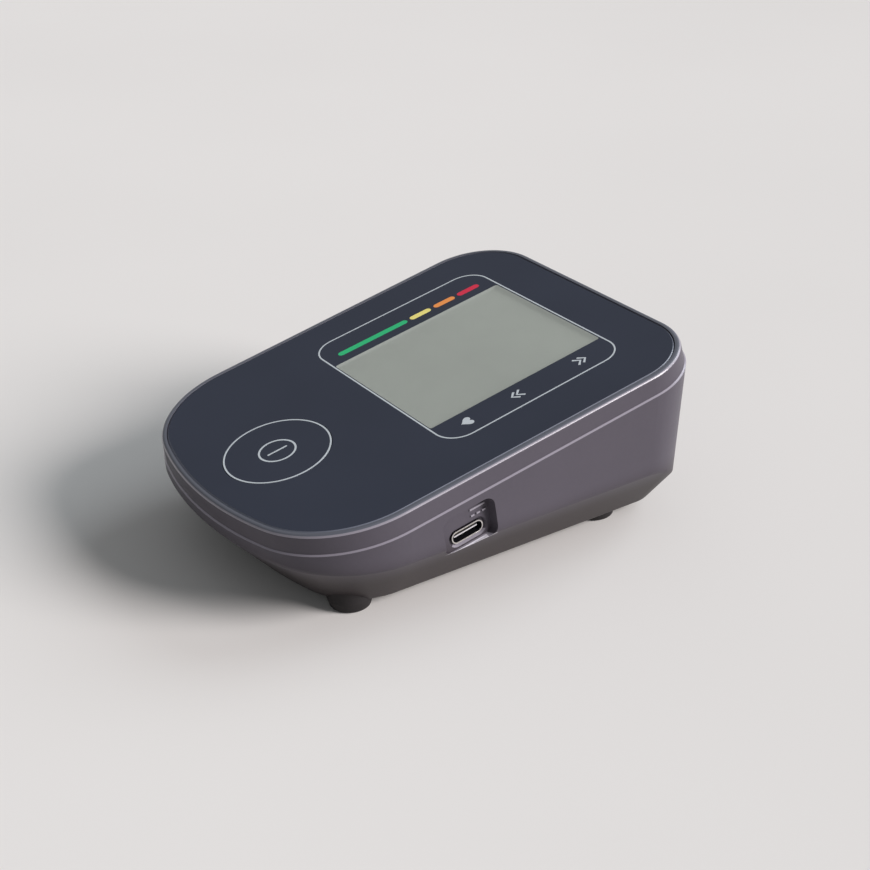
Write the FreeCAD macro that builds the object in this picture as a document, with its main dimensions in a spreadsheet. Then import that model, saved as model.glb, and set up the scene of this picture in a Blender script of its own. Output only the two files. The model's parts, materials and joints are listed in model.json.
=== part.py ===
import FreeCAD, Part
import math
import os
import re
import Sketcher
from FreeCAD import Placement, Rotation, Vector

# Home blood pressure monitor: a wedge-shaped table-top case under a tilted front panel.
# X runs to the right, Y to the rear and Z up; the origin is on the table under the middle of the case.
# Pieces that lie in the tilted panel's frame have Z along the panel's normal, with zero on its face.

SIZES = {
    # Front panel, seen square on
    "tilt": 11.0,
    "panel_height": 36.5,
    "panel_shift": 0.9185,
    "panel_half": 44.75,
    "panel_reach": 58.7,
    "panel_rear_corner": 16.5,
    "panel_front_corner": 26.4,
    "panel_bow": 97.0,
    "panel_taper": 0.8,
    "panel_thick": 0.8,
    "panel_gap": 0.1,
    "panel_bevel": 0.45,
    # Top case: rim, side band, deck under the panel, lip inside the bottom case
    "rim_wide": 1.5,
    "rim_round": 1.0,
    "seam_depth": 4.9,
    "band_draft": 4.0,
    "top_wall": 3.0,
    "lip_deep": 1.2,
    "lip_gap": 0.4,
    # Bottom case: drafted walls cut by the sloping facets of the hull
    "ledge": 0.4,
    "ledge_bevel": 0.35,
    "wall_draft": 4.0,
    "case_wall": 2.2,
    "front_crease_share": 0.8341,
    "side_crease_share": 0.4977,
    "rear_crease_share": 0.1066,
    "floor_wall": 2.4,
    "under_front_corner": 16.0,
    "under_rear_corner": 8.0,
    "under_bow": 85.0,
    "side_facet": 36.8,
    "front_facet": 42.0,
    "rear_facet": 40.0,
    "crease_round": 1.8,
    "under_round": 2.5,
    "overrun": 1.0,
    # Feet
    "foot_tall": 2.5,
    "foot_radius": 5.65,
    "foot_tip_radius": 4.9,
    "foot_round": 0.8,
    "foot_inset": 6.4,
    "front_foot_inset": 9.8,
    "rear_foot_inset": 16.7,
    "foot_seat": 7.0,
    "foot_wall": 1.6,
    "foot_gap": 0.05,
    # Display
    "window_wide_share": 0.9922,
    "window_long_share": 0.8927,
    "window_back_share": 0.3194,
    "window_corner": 0.6,
    "window_gap": 0.05,
    "lcd_margin": 2.4,
    "lcd_sheet": 1.0,
    "lcd_overhang": 2.5,
    "carrier_wall": 1.4,
    "carrier_floor": 1.2,
    "carrier_rib": 1.6,
    "carrier_gap": 0.15,
    "strip_thick": 2.0,
    "strip_long": 40.0,
    # Start button and its switch
    "button_radius": 13.5,
    "button_inset": 20.7,
    "button_gap": 0.2,
    "button_thick": 1.8,
    "button_bevel": 0.2,
    "button_skirt": 1.2,
    "button_flange": 1.1,
    "button_flange_thick": 0.8,
    "button_stem": 2.4,
    "button_travel": 0.5,
    "stop_gap": 0.05,
    "switch_wide": 6.0,
    "switch_tall": 3.4,
    "plunger_radius": 1.7,
    "plunger_rise": 1.2,
    "plunger_sunk": 1.4,
    "running_gap": 0.06,
    # Main board
    "board_thick": 1.6,
    "board_gap": 0.5,
    "board_clear": 0.6,
    "board_rear_gap": 0.6,
    "board_nose_share": 0.67,
    "board_nose_inset": 16.2,
    "board_shoulder_share": 0.511,
    "post_inset": 6.7,
    "post_rear_inset": 9.0,
    "nose_post_share": 0.581,
    "nose_post_inset": 23.7,
    "board_notch_gap": 0.5,
    "post_radius": 2.4,
    "board_screw_radius": 1.0,
    "board_screw_head": 1.9,
    "board_screw_head_tall": 1.2,
    "board_screw_long": 5.0,
    "chip_wide": 10.0,
    "chip_tall": 1.6,
    "chip_side_share": 0.27,
    "chip_fore_share": 0.409,
    "buzzer_radius": 6.0,
    "buzzer_tall": 4.5,
    "buzzer_port": 1.0,
    "buzzer_gap": 0.6,
    "buzzer_fore_share": 0.375,
    # USB socket in the right wall
    "usb_wide": 8.94,
    "usb_tall": 3.26,
    "usb_long": 7.3,
    "usb_shell": 0.3,
    "usb_fore_share": 0.2555,
    "usb_sunk": 0.1,
    "usb_gap": 0.1,
    "tongue_wide": 6.7,
    "tongue_thick": 0.7,
    "tongue_back": 0.9,
    "tongue_base": 2.0,
    "recess_long_margin": 4.81,
    "recess_cover": 0.65,
    "recess_above": 7.85,
    "recess_below": 2.85,
    "recess_ahead": 0.3,
    "recess_corner": 2.2,
    "recess_deep": 1.27,
    "pocket_margin": 0.4,
    "recess_flare": 10.0,
    "pocket_flare": 36.0,
    "pocket_deep": 0.7,
    "usb_block_wall": 2.0,
    "stadium_share": 0.47,
    # Case screws
    "boss_radius": 3.2,
    "boss_meet": 12.0,
    "boss_web": 2.0,
    "screw_front_inset": 14.1,
    "screw_side_gap": 0.45,
    "screw_rear_inset": 18.2,
    "screw_radius": 1.3,
    "screw_head": 2.4,
    "screw_head_tall": 1.8,
    "screw_long": 9.0,
    "screw_gap": 0.15,
    "screw_pilot_gap": 0.02,
    # Battery compartment, four cells side by side across the case
    "cell_long_share": 0.9944,
    "cell_height_share": 0.1425,
    "cell_reach_share": 0.0886,
    "cell_gap": 0.5,
    "cell_nub": 1.9,
    "cell_nub_tall": 0.9,
    "cell_round": 0.5,
    "cell_lift": 0.15,
    "contact_thick": 0.4,
    "contact_bump": 1.6,
    "contact_bump_radius": 2.4,
    "contact_wide": 8.0,
    "well_wall": 1.3,
    "well_roof": 1.4,
    "well_headroom": 0.4,
    "hook_room": 3.0,
    "door_ledge": 1.2,
    "door_seat_gap": 0.05,
    "door_thick": 1.3,
    "door_gap": 0.25,
    "hook_wide": 8.0,
    "hook_side": 14.0,
    "hook_reach": 2.0,
    "hook_thick": 1.0,
    "hook_riser": 1.2,
    "hook_gap": 0.25,
    "latch_wide": 12.0,
    "latch_slot": 0.8,
    "latch_long": 9.0,
    "grip_deep": 0.5,
    # Air pump, lying across the rear of the case
    "pump_wall_gap": 0.76,
    "pump_room_share": 0.1397,
    "pump_side_gap": 1.6,
    "pump_lift": 20.5,
    "motor_radius": 10.0,
    "motor_long_share": 0.5363,
    "motor_wall": 0.8,
    "motor_cap": 2.5,
    "magnet_thick": 1.8,
    "magnet_long": 15.0,
    "magnet_arc_gap": 3.0,
    "air_gap": 0.4,
    "armature_long": 13.0,
    "shaft_radius": 1.0,
    "shaft_tail": 1.0,
    "crank_radius": 4.0,
    "crank_thick": 4.0,
    "crank_pin_radius": 0.8,
    "crank_pin_long": 2.5,
    "crank_throw": 2.0,
    "crank_gap": 1.5,
    "head_radius": 10.5,
    "head_long_share": 0.2682,
    "head_wall": 1.6,
    "diaphragm_thick": 1.5,
    "head_cap": 7.6,
    "saddle_thick": 2.0,
    "motor_saddle_share": 0.5833,
    "head_saddle_inset": 4.6,
    "outlet_inset": 3.1,
    "saddle_fore": 34.5,
    "saddle_top": 17.5,
    "saddle_gap": 0.03,
    # Exhaust valve, manifold and tubes, lying on the roof of the battery compartment
    "air_inset": 6.8,
    "valve_run": 10.0,
    "manifold_wide": 8.0,
    "nipple_radius": 1.8,
    "nipple_bore": 0.9,
    "nipple_long": 3.5,
    "tube_gap": 0.05,
    "tube_wall": 1.2,
    "tube_end_gap": 0.1,
    "valve_tall": 10.4,
    "valve_long": 18.0,
    "valve_bore": 2.2,
    "valve_seat": 3.0,
    "valve_travel": 1.0,
    "valve_rest_gap": 0.3,
    "sensor_wide": 10.0,
    "sensor_thick": 3.5,
    "sensor_run": 7.0,
    # Cuff air socket in the left wall
    "socket_bore": 2.1,
    "socket_bore_long": 9.0,
    "socket_body": 3.9,
    "socket_flange": 5.6,
    "socket_flange_thick": 1.4,
    "socket_proud": 0.4,
    "socket_gap": 0.08,
    "socket_long": 11.07,
}

# Places and sizes that follow from the ones above
RULES = {
    "cos_tilt": "cos(tilt * 1 deg)",
    "sin_tilt": "sin(tilt * 1 deg)",
    "panel_y": "-panel_shift",
    "deck_thick": "2 * lcd_sheet",
    "deck_under": "panel_thick + deck_thick",
    "case_grow": "rim_wide + seam_depth * tan(band_draft * 1 deg)",
    "base_grow": "case_grow + ledge",
    "lip_grow": "base_grow - case_wall - lip_gap",
    "top_inner_grow": "case_grow - top_wall",
    "seam_y": "panel_y + seam_depth * sin_tilt",
    "seam_mid": "panel_height - seam_depth * cos_tilt",
    "seam_reach": "panel_reach + base_grow",
    "draft_slope": "tan(wall_draft * 1 deg)",
    "mid_drop": "seam_mid - foot_tall",
    "rear_drop": "mid_drop + seam_reach * sin_tilt",
    "front_drop": "mid_drop - seam_reach * sin_tilt",
    "base_half": "panel_half + base_grow - mid_drop * draft_slope",
    "base_rear": "seam_reach * cos_tilt + seam_y - rear_drop * draft_slope",
    "base_front": "seam_reach * cos_tilt - seam_y - front_drop * draft_slope",
    "base_rear_corner": "panel_rear_corner + base_grow - rear_drop * draft_slope",
    "base_front_corner": "panel_front_corner + base_grow - mid_drop * draft_slope",
    "base_bow": "panel_bow + base_grow - front_drop * draft_slope",
    "under_half": "base_half - side_crease_share * mid_drop * (tan(side_facet * 1 deg) - draft_slope)",
    "under_front": "base_front - front_crease_share * front_drop * (tan(front_facet * 1 deg) - draft_slope)",
    "under_rear": "base_rear - rear_crease_share * rear_drop * (tan(rear_facet * 1 deg) - draft_slope)",
    "foot_side": "under_half - foot_inset",
    "foot_front": "under_front - front_foot_inset",
    "foot_rear": "under_rear - rear_foot_inset",
    "window_wide": "panel_half * window_wide_share",
    "window_long": "panel_reach * window_long_share",
    "window_back": "panel_reach * window_back_share",
    "button_fore": "panel_reach - button_inset",
    "under_top": "foot_tall + floor_wall",
    "hull_rise": "panel_height + panel_reach * sin_tilt - foot_tall",
    "lcd_wide": "window_wide + 2 * lcd_margin",
    "lcd_long": "window_long + 2 * lcd_margin",
    "carrier_wide": "lcd_wide + 2 * (carrier_gap + carrier_wall)",
    "carrier_long": "lcd_long + lcd_overhang + 2 * (carrier_gap + carrier_wall)",
    "carrier_back": "window_back - lcd_overhang / 2",
    "carrier_under": "deck_under + carrier_floor",
    "strip_back": "window_back - lcd_long / 2 - lcd_overhang / 2",
    "board_under": "(panel_height - (well_front + well_wall + panel_y) * sin_tilt / cos_tilt - roof_top - board_clear) * cos_tilt",
    "board_top": "board_under - board_thick",
    "board_half": "usb_block - board_gap",
    "board_nose_half": "panel_half * board_nose_share",
    "board_nose": "panel_reach - board_nose_inset",
    "board_shoulder": "panel_reach * board_shoulder_share",
    "board_back": "(sensor_front - board_rear_gap - panel_y - board_under * sin_tilt) / cos_tilt",
    "post_side": "board_half - post_inset",
    "post_fore": "post_rear_inset - board_back",
    "nose_post_side": "panel_half * nose_post_share",
    "nose_post_fore": "panel_reach - nose_post_inset",
    "chip_side": "panel_half * chip_side_share",
    "chip_fore": "panel_reach * chip_fore_share",
    "buzzer_side": "nose_post_side - post_radius - buzzer_radius - buzzer_gap",
    "buzzer_fore": "panel_reach * buzzer_fore_share",
    "screw_front_side": "button_hole + button_flange + boss_radius",
    "screw_front_fore": "panel_reach - screw_front_inset",
    "screw_rear_side": "carrier_wide / 2 + boss_radius + screw_side_gap",
    "screw_rear_back": "panel_reach - screw_rear_inset",
    "switch_face": "board_top - switch_tall",
    "plunger_face": "switch_face - plunger_rise",
    "button_hole": "button_radius + button_gap",
    "flange_top": "deck_under + stop_gap",
    "flange_under": "flange_top + button_flange_thick",
    "recess_floor": "base_half - recess_deep",
    "usb_fore": "panel_reach * usb_fore_share",
    "usb_depth": "board_under + usb_tall / 2",
    "recess_long": "usb_wide + recess_long_margin",
    "recess_top": "max(usb_block_top + recess_cover; usb_depth - recess_above)",
    "recess_under": "usb_depth + recess_below",
    "recess_tall": "recess_under - recess_top",
    "recess_depth": "(recess_under + recess_top) / 2",
    "recess_fore": "usb_fore + recess_ahead",
    "recess_y": "panel_y - recess_fore * cos_tilt + recess_depth * sin_tilt",
    "recess_z": "panel_height - recess_fore * sin_tilt - recess_depth * cos_tilt",
    "usb_y": "panel_y - usb_fore * cos_tilt + usb_depth * sin_tilt",
    "usb_z": "panel_height - usb_fore * sin_tilt - usb_depth * cos_tilt",
    "usb_face": "recess_floor - usb_sunk",
    "usb_inner": "usb_face - usb_long",
    "usb_block": "recess_floor - pocket_deep - usb_block_wall",
    "usb_block_top": "seam_depth + lip_deep + lip_gap",
    "usb_block_under": "recess_depth + recess_tall / 2 + usb_block_wall",
    "cell_radius": "min(panel_height * cell_height_share; panel_reach * cell_reach_share)",
    "cell_long": "panel_half * cell_long_share",
    "cell_pitch": "2 * cell_radius + cell_gap",
    "well_half": "cell_long / 2 + contact_thick + contact_bump",
    "opening_half": "well_half - door_ledge",
    "opening_front": "opening_rear - 4 * cell_pitch",
    "opening_rear": "well_rear - door_ledge",
    "well_rear": "pump_front - panel_reach * pump_room_share",
    "well_front": "hook_room - opening_front",
    "door_rebate": "door_thick + door_seat_gap",
    "well_mid": "(well_rear - well_front) / 2",
    "well_deep": "well_rear + well_front",
    "cell_height": "under_top + cell_lift + cell_radius",
    "roof_under": "cell_height + cell_radius + well_headroom",
    "roof_top": "roof_under + well_roof",
    "rebate_half": "opening_half + door_ledge",
    "rebate_rear": "opening_rear + door_ledge",
    "door_half": "rebate_half - door_gap",
    "door_front": "opening_front + door_gap",
    "door_rear": "rebate_rear - door_gap",
    "door_top": "foot_tall + door_thick",
    "hook_under": "under_top + hook_gap",
    "air_z": "roof_top + valve_tall / 2",
    "tube_bore": "nipple_radius + tube_gap",
    "tube_radius": "tube_bore + tube_wall",
    "air_back": "well_rear - air_inset",
    "manifold_x": "cap_left + outlet_inset",
    "sensor_rear": "manifold_front - sensor_run",
    "sensor_front": "sensor_rear - sensor_thick",
    "manifold_left": "manifold_x - manifold_wide / 2",
    "manifold_right": "manifold_x + manifold_wide / 2",
    "manifold_front": "air_back - manifold_wide / 2",
    "manifold_rear": "air_back + manifold_wide / 2",
    "valve_left": "manifold_right + valve_run",
    "valve_right": "valve_left + valve_long",
    "bore_deep": "valve_long - valve_seat",
    "stopper_long": "bore_deep - valve_travel - 2 * valve_rest_gap",
    "socket_wall": "base_half + (air_z - foot_tall) * draft_slope",
    "socket_face": "socket_wall + socket_proud",
    "socket_inner": "socket_wall - socket_long",
    "head_left": "pump_x - head_long",
    "motor_long": "panel_half * motor_long_share",
    "head_long": "panel_half * head_long_share",
    "pump_x": "screw_rear_side - boss_radius - pump_side_gap - shaft_tail - motor_long",
    "motor_right": "pump_x + motor_long",
    "pump_back": "base_rear + (pump_lift - foot_tall) * draft_slope - case_wall - pump_wall_gap - max(head_radius; motor_radius)",
    "motor_saddle": "pump_x + motor_long * motor_saddle_share",
    "head_saddle": "cap_left + head_saddle_inset",
    "diaphragm_left": "head_left - diaphragm_thick",
    "cap_left": "diaphragm_left - head_cap",
    "crank_right": "pump_x - head_wall - crank_gap",
    "crank_left": "crank_right - crank_thick",
    "bellows_radius": "head_radius / 4",
    "bellows_ring": "head_radius / 2",
    "bellows_long": "diaphragm_thick",
    "pump_front": "pump_back - head_radius",
    "armature_radius": "motor_radius - motor_wall - magnet_thick - air_gap",
}

FEET = [(side, end) for side in (-1, 1) for end in (-1, 1)]
CELLS = range(4)
WHOLE_TURN = 360

doc = FreeCAD.newDocument("blood_pressure_monitor")
sheet = doc.addObject("Spreadsheet::Sheet", "dims")
for row, (name, size) in enumerate(SIZES.items(), 1):
    sheet.set("A%d" % row, str(size))
    sheet.setAlias("A%d" % row, name)
doc.recompute()
subparts = []


def formula(text):
    """Writes a formula with each name replaced by its cell or its rule."""
    def cell(match):
        word = match.group()
        if word in RULES:
            return "(" + formula(RULES[word]) + ")"
        if word in SIZES:
            return "dims." + word
        return word
    return re.sub(r"[a-z][a-z_]*", cell, str(text))


def number(text):
    result = sheet.evalExpression(formula(text))
    return float(getattr(result, "Value", result))


def times(sign, text):
    """Writes a formula's value with the sign of the side it is on."""
    return "%d * (%s)" % (sign, text)


def new_body(label, tilted=False):
    body = doc.addObject("PartDesign::Body", label)
    body.Label = label
    if tilted:
        body.Placement = Placement(Vector(), Rotation(Vector(1, 0, 0), number("tilt")))
        body.setExpression("Placement.Base.y", formula("panel_y"))
        body.setExpression("Placement.Base.z", formula("panel_height"))
        body.setExpression("Placement.Rotation.Angle", formula("tilt * 1 deg"))
    return body


def new_part(label, tilted=False):
    body = new_body(label, tilted)
    subparts.append(body)
    return body


def new_sketch(body, name, plane, place, lean, spin):
    """A sketch on an origin plane, moved by place and turned about its own x axis (lean) or normal (spin)."""
    sketch = body.newObject("Sketcher::SketchObject", body.Name + "_" + name)
    roles = {feature.Role: feature for feature in body.Origin.OriginFeatures}
    sketch.AttachmentSupport = [(roles[plane], "")]
    sketch.MapMode = "FlatFace"
    turn = lean or spin
    if turn:
        axis = Vector(1, 0, 0) if lean else Vector(0, 0, 1)
        sketch.AttachmentOffset = Placement(Vector(), Rotation(axis, number(turn)))
        sketch.setExpression("AttachmentOffset.Rotation.Angle", formula("(%s) * 1 deg" % turn))
    for axis_name, distance in zip("xyz", place):
        sketch.setExpression("AttachmentOffset.Base." + axis_name, formula(distance))
    return sketch


def bind(sketch, kind, parts, text):
    """Adds a dimension whose value follows the sheet."""
    value = number(text)
    if kind == "Angle":
        value = math.radians(value)
    index = sketch.addConstraint(Sketcher.Constraint(kind, *parts, value))
    sketch.setExpression("Constraints[%d]" % index, formula(text))


def locate(sketch, shape, point, x, y):
    bind(sketch, "DistanceX", (-1, 1, shape, point), x)
    bind(sketch, "DistanceY", (-1, 1, shape, point), y)


def circle(sketch, x, y, radius):
    centre = Vector(number(x), number(y))
    shape = sketch.addGeometry(Part.Circle(centre, Vector(0, 0, 1), number(radius)), False)
    locate(sketch, shape, 3, x, y)
    bind(sketch, "Radius", (shape,), radius)


def polygon(sketch, points):
    places = [Vector(number(x), number(y)) for x, y in points]
    lines = [sketch.addGeometry(Part.LineSegment(a, b), False)
             for a, b in zip(places, places[1:] + places[:1])]
    for line, after in zip(lines, lines[1:] + lines[:1]):
        sketch.addConstraint(Sketcher.Constraint("Coincident", line, 2, after, 1))
    for line, (x, y) in zip(lines, points):
        locate(sketch, line, 1, x, y)


def rectangle(sketch, left, right, low, high):
    polygon(sketch, [(left, low), (right, low), (right, high), (left, high)])


def centred(sketch, x, y, wide, tall):
    rectangle(sketch, f"({x}) - ({wide}) / 2", f"({x}) + ({wide}) / 2",
              f"({y}) - ({tall}) / 2", f"({y}) + ({tall}) / 2")


def rounded(sketch, x, y, wide, tall, corner):
    """A centred rectangle with round corners."""
    cx, cy, w, t, r = [number(text) for text in (x, y, wide, tall, corner)]
    up = Vector(0, 0, 1)
    middles = [(1, -1), (1, 1), (-1, 1), (-1, -1)]
    shapes = []
    for index, (sx, sy) in enumerate(middles):
        nx, ny = middles[(index + 1) % len(middles)]
        centre = Vector(cx + sx * (w / 2 - r), cy + sy * (t / 2 - r))
        start = math.pi / 2 * (index - 1)
        arc = Part.ArcOfCircle(Part.Circle(centre, up, r), start, start + math.pi / 2)
        end = centre + Vector(math.cos(start + math.pi / 2), math.sin(start + math.pi / 2)) * r
        following = Vector(cx + nx * (w / 2 - r), cy + ny * (t / 2 - r))
        turned = following + Vector(math.cos(start + math.pi / 2), math.sin(start + math.pi / 2)) * r
        shapes.append(sketch.addGeometry(arc, False))
        shapes.append(sketch.addGeometry(Part.LineSegment(end, turned), False))
    for shape, after in zip(shapes, shapes[1:] + shapes[:1]):
        sketch.addConstraint(Sketcher.Constraint("Tangent", shape, 2, after, 1))
    arcs = shapes[0::2]
    for arc in arcs[1:]:
        sketch.addConstraint(Sketcher.Constraint("Equal", arcs[0], arc))
    sketch.addConstraint(Sketcher.Constraint("Vertical", shapes[1]))
    sketch.addConstraint(Sketcher.Constraint("Horizontal", shapes[3]))
    bind(sketch, "Radius", (arcs[0],), corner)
    locate(sketch, arcs[0], 3, f"({x}) + ({wide}) / 2 - ({corner})", f"({y}) - ({tall}) / 2 + ({corner})")
    locate(sketch, arcs[2], 3, f"({x}) - ({wide}) / 2 + ({corner})", f"({y}) + ({tall}) / 2 - ({corner})")


def outline(sketch, half, front, rear, rear_corner, front_corner, bow, taper):
    """The case's outline: bowed front, large front corners, sides that open out by taper, straight rear."""
    side, fore, back, r_rear, r_front, r_bow, lean = [
        number(text) for text in (half, front, rear, rear_corner, front_corner, bow, taper)]
    lean = math.radians(lean)
    sin_lean, cos_lean = math.sin(lean), math.cos(lean)
    rear_c = Vector(side + ((back - r_rear) * sin_lean - r_rear) / cos_lean, back - r_rear)
    bow_c = Vector(0, r_bow - fore)
    front_c = Vector(side - r_front, r_front - fore)
    for step in range(40):
        front_c.x = side + (front_c.y * sin_lean - r_front) / cos_lean
        front_c.y = bow_c.y - math.sqrt((r_bow - r_front) ** 2 - front_c.x ** 2)
    swing = math.atan2(front_c.x, bow_c.y - front_c.y)
    outward = Vector(cos_lean, -sin_lean)
    low, high = front_c + outward * r_front, rear_c + outward * r_rear
    top = Vector(rear_c.x, back)

    def mirror(point):
        return Vector(-point.x, point.y)

    def arc(centre, radius, start, end):
        return Part.ArcOfCircle(Part.Circle(centre, Vector(0, 0, 1), radius), start, end)

    quarter = math.pi / 2
    shapes = sketch.addGeometry([
        Part.LineSegment(low, high),
        arc(rear_c, r_rear, -lean, quarter),
        Part.LineSegment(top, mirror(top)),
        arc(mirror(rear_c), r_rear, quarter, 2 * quarter + lean),
        Part.LineSegment(mirror(high), mirror(low)),
        arc(mirror(front_c), r_front, 2 * quarter + lean, 3 * quarter - swing),
        arc(bow_c, r_bow, 3 * quarter - swing, 3 * quarter + swing),
        arc(front_c, r_front, 3 * quarter + swing, 4 * quarter - lean),
    ], False)
    right, rear_arc, rear_line, left_rear_arc, left, left_front_arc, bow_arc, front_arc = shapes
    for shape, after in zip(shapes, shapes[1:] + shapes[:1]):
        sketch.addConstraint(Sketcher.Constraint("Tangent", shape, 2, after, 1))
    mark = sketch.addGeometry(Part.Point(Vector(side, 0)), True)
    sketch.addConstraint([
        Sketcher.Constraint("Symmetric", rear_line, 1, rear_line, 2, -2),
        Sketcher.Constraint("Equal", rear_arc, left_rear_arc),
        Sketcher.Constraint("Equal", front_arc, left_front_arc),
        Sketcher.Constraint("PointOnObject", bow_arc, 3, -2),
        Sketcher.Constraint("PointOnObject", mark, 1, right),
        Sketcher.Constraint("PointOnObject", mark, 1, -1),
    ])
    bind(sketch, "Radius", (rear_arc,), rear_corner)
    bind(sketch, "Radius", (front_arc,), front_corner)
    bind(sketch, "Radius", (bow_arc,), bow)
    bind(sketch, "DistanceY", (-1, 1, rear_line, 1), rear)
    bind(sketch, "DistanceY", (-1, 1, bow_arc, 3), f"({bow}) - ({front})")
    bind(sketch, "DistanceX", (-1, 1, mark, 1), half)
    bind(sketch, "Angle", (right,), f"90 deg - ({taper}) * 1 deg")
    bind(sketch, "Angle", (left,), f"({taper}) * 1 deg - 90 deg")


def panel_outline(sketch, grow):
    outline(sketch, f"panel_half + ({grow}) / cos(panel_taper * 1 deg)", f"panel_reach + ({grow})",
            f"panel_reach + ({grow})", f"panel_rear_corner + ({grow})", f"panel_front_corner + ({grow})",
            f"panel_bow + ({grow})", "panel_taper")


def wall_outline(sketch, rise, inset):
    """The drafted wall's outline at a height above the underside."""
    grow = f"({rise}) * draft_slope - ({inset})"
    outline(sketch, f"base_half + {grow}", f"base_front + {grow}", f"base_rear + {grow}",
            f"base_rear_corner + {grow}", f"base_front_corner + {grow}", f"base_bow + {grow}", "0")


def hull_outline(sketch, rise, inset):
    """The sloping facets' outline at a height above the underside."""
    def flare(name):
        return f"({rise}) * tan({name} * 1 deg) - ({inset}) / cos({name} * 1 deg)"

    outline(sketch, "under_half + " + flare("side_facet"), "under_front + " + flare("front_facet"),
            "under_rear + " + flare("rear_facet"), "under_rear_corner + " + flare("side_facet"),
            "under_front_corner + " + flare("side_facet"), "under_bow + " + flare("front_facet"), "0")


def feature(body, kind, name, draw, plane, place, lean, spin):
    sketch = new_sketch(body, name, plane, place, lean, spin)
    draw(sketch)
    made = body.newObject("PartDesign::" + kind, body.Name + "_" + name + "_" + kind.lower())
    made.Profile = sketch
    return made


def pad(body, name, draw, length, level="0", plane="XY_Plane", back=False, place=("0", "0"), lean=None, spin=None):
    made = feature(body, "Pad", name, draw, plane, (*place, level), lean, spin)
    made.Reversed = back
    made.setExpression("Length", formula(length))
    return made


def cut(body, name, draw, length=None, level="0", plane="XY_Plane", back=False, place=("0", "0"), lean=None,
        spin=None, flare=None):
    """Cuts against the plane's normal, or along it when back is set; with no length it cuts all the way."""
    made = feature(body, "Pocket", name, draw, plane, (*place, level), lean, spin)
    made.Reversed = back
    if length is None:
        made.Type = "ThroughAll"
    else:
        made.setExpression("Length", formula(length))
    if flare:
        made.setExpression("TaperAngle", formula(flare))
    doc.recompute()
    return made


def turned(body, name, points, place=("0", "0", "0"), plane="XZ_Plane"):
    """A solid of revolution about the sketch's upright axis, from points of radius and height."""
    made = feature(body, "Revolution", name, lambda sketch: polygon(sketch, points), plane, place, None, None)
    made.ReferenceAxis = (made.Profile[0], ["V_Axis"])
    made.Angle = WHOLE_TURN
    return made


def loft(body, name, sections):
    """A ruled loft through outlines; each section is its drawing, its place and its lean."""
    sketches = []
    for index, (draw, place, lean) in enumerate(sections):
        sketch = new_sketch(body, "%s_%d" % (name, index), "XY_Plane", place, lean, None)
        draw(sketch)
        sketches.append(sketch)
    doc.recompute()
    made = body.newObject("PartDesign::AdditiveLoft", body.Name + "_" + name)
    made.Profile = sketches[0]
    made.Sections = sketches[1:]
    made.Ruled = True
    doc.recompute()
    return made


def combine(body, kind, other):
    made = body.newObject("PartDesign::Boolean", body.Name + "_" + kind.lower() + "_" + other.Name)
    made.Type = kind
    made.setObjects([other])
    doc.recompute()
    return made


def meeting_angle(shape, edge):
    """The angle in degrees between the two faces that meet at the middle of an edge."""
    point = edge.valueAt((edge.FirstParameter + edge.LastParameter) / 2)
    normals = []
    for face in shape.ancestorsOfType(edge, Part.Face):
        normals.append(face.normalAt(*face.Surface.parameter(point)))
    return math.degrees(normals[0].getAngle(normals[1])) if len(normals) == 2 else 0


def soften(body, kind, name, test, size):
    """Rounds or bevels every sharp edge whose middle passes the test."""
    sharp = 12
    shape = body.Tip.Shape
    names = []
    for index, edge in enumerate(shape.Edges, 1):
        middle = edge.valueAt((edge.FirstParameter + edge.LastParameter) / 2)
        if test(middle, edge) and meeting_angle(shape, edge) > sharp:
            names.append("Edge%d" % index)
    made = body.newObject("PartDesign::" + kind, body.Name + "_" + name)
    made.Base = (body.Tip if body.Tip.Name != made.Name else made.BaseFeature, names)
    made.setExpression("Radius" if kind == "Fillet" else "Size", formula(size))
    doc.recompute()
    return made


def hollow(label, plane, level, length, x, y, outer, inner, back=False):
    """A straight tube across one of the origin planes."""
    body = new_part(label)
    pad(body, "tube", lambda sketch: circle(sketch, x, y, outer), length, level, plane, back)
    doc.recompute()
    cut(body, "bore", lambda sketch: circle(sketch, x, y, inner), length, level, plane, not back)
    return body


def each(draw, places):
    """Draws the same figure at several places in one sketch."""
    def draw_all(sketch):
        for place in places:
            draw(sketch, *place)
    return draw_all


def screw_places():
    return ([(times(side, "screw_front_side"), "-screw_front_fore") for side in (-1, 1)]
            + [(times(side, "screw_rear_side"), "screw_rear_back") for side in (-1, 1)])


def post_places():
    return ([(times(side, "nose_post_side"), "-nose_post_fore") for side in (-1, 1)]
            + [(times(side, "post_side"), "-post_fore") for side in (-1, 1)])


def discs(places, radius):
    return each(lambda sketch, x, y: circle(sketch, x, y, radius), places)


screws = screw_places()
posts = post_places()
feet = [(times(side, "foot_side"), "foot_rear" if end > 0 else "-foot_front") for side, end in FEET]
cell_y = ["opening_front + cell_pitch * (%d + 1 / 2)" % index for index in CELLS]

# Front panel: a bevelled plate with the display opening and the button hole
front_panel = new_part("front_panel", True)
pad(front_panel, "plate", lambda sketch: panel_outline(sketch, "0"), "panel_thick", back=True)
doc.recompute()
soften(front_panel, "Chamfer", "bevel", lambda middle, edge: abs(middle.z) < number("panel_bevel"), "panel_bevel")
cut(front_panel, "window", lambda sketch: rounded(
    sketch, "0", "window_back", "window_wide", "window_long", "window_corner"))
cut(front_panel, "button_hole", lambda sketch: circle(sketch, "0", "-button_fore", "button_hole"))

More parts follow.
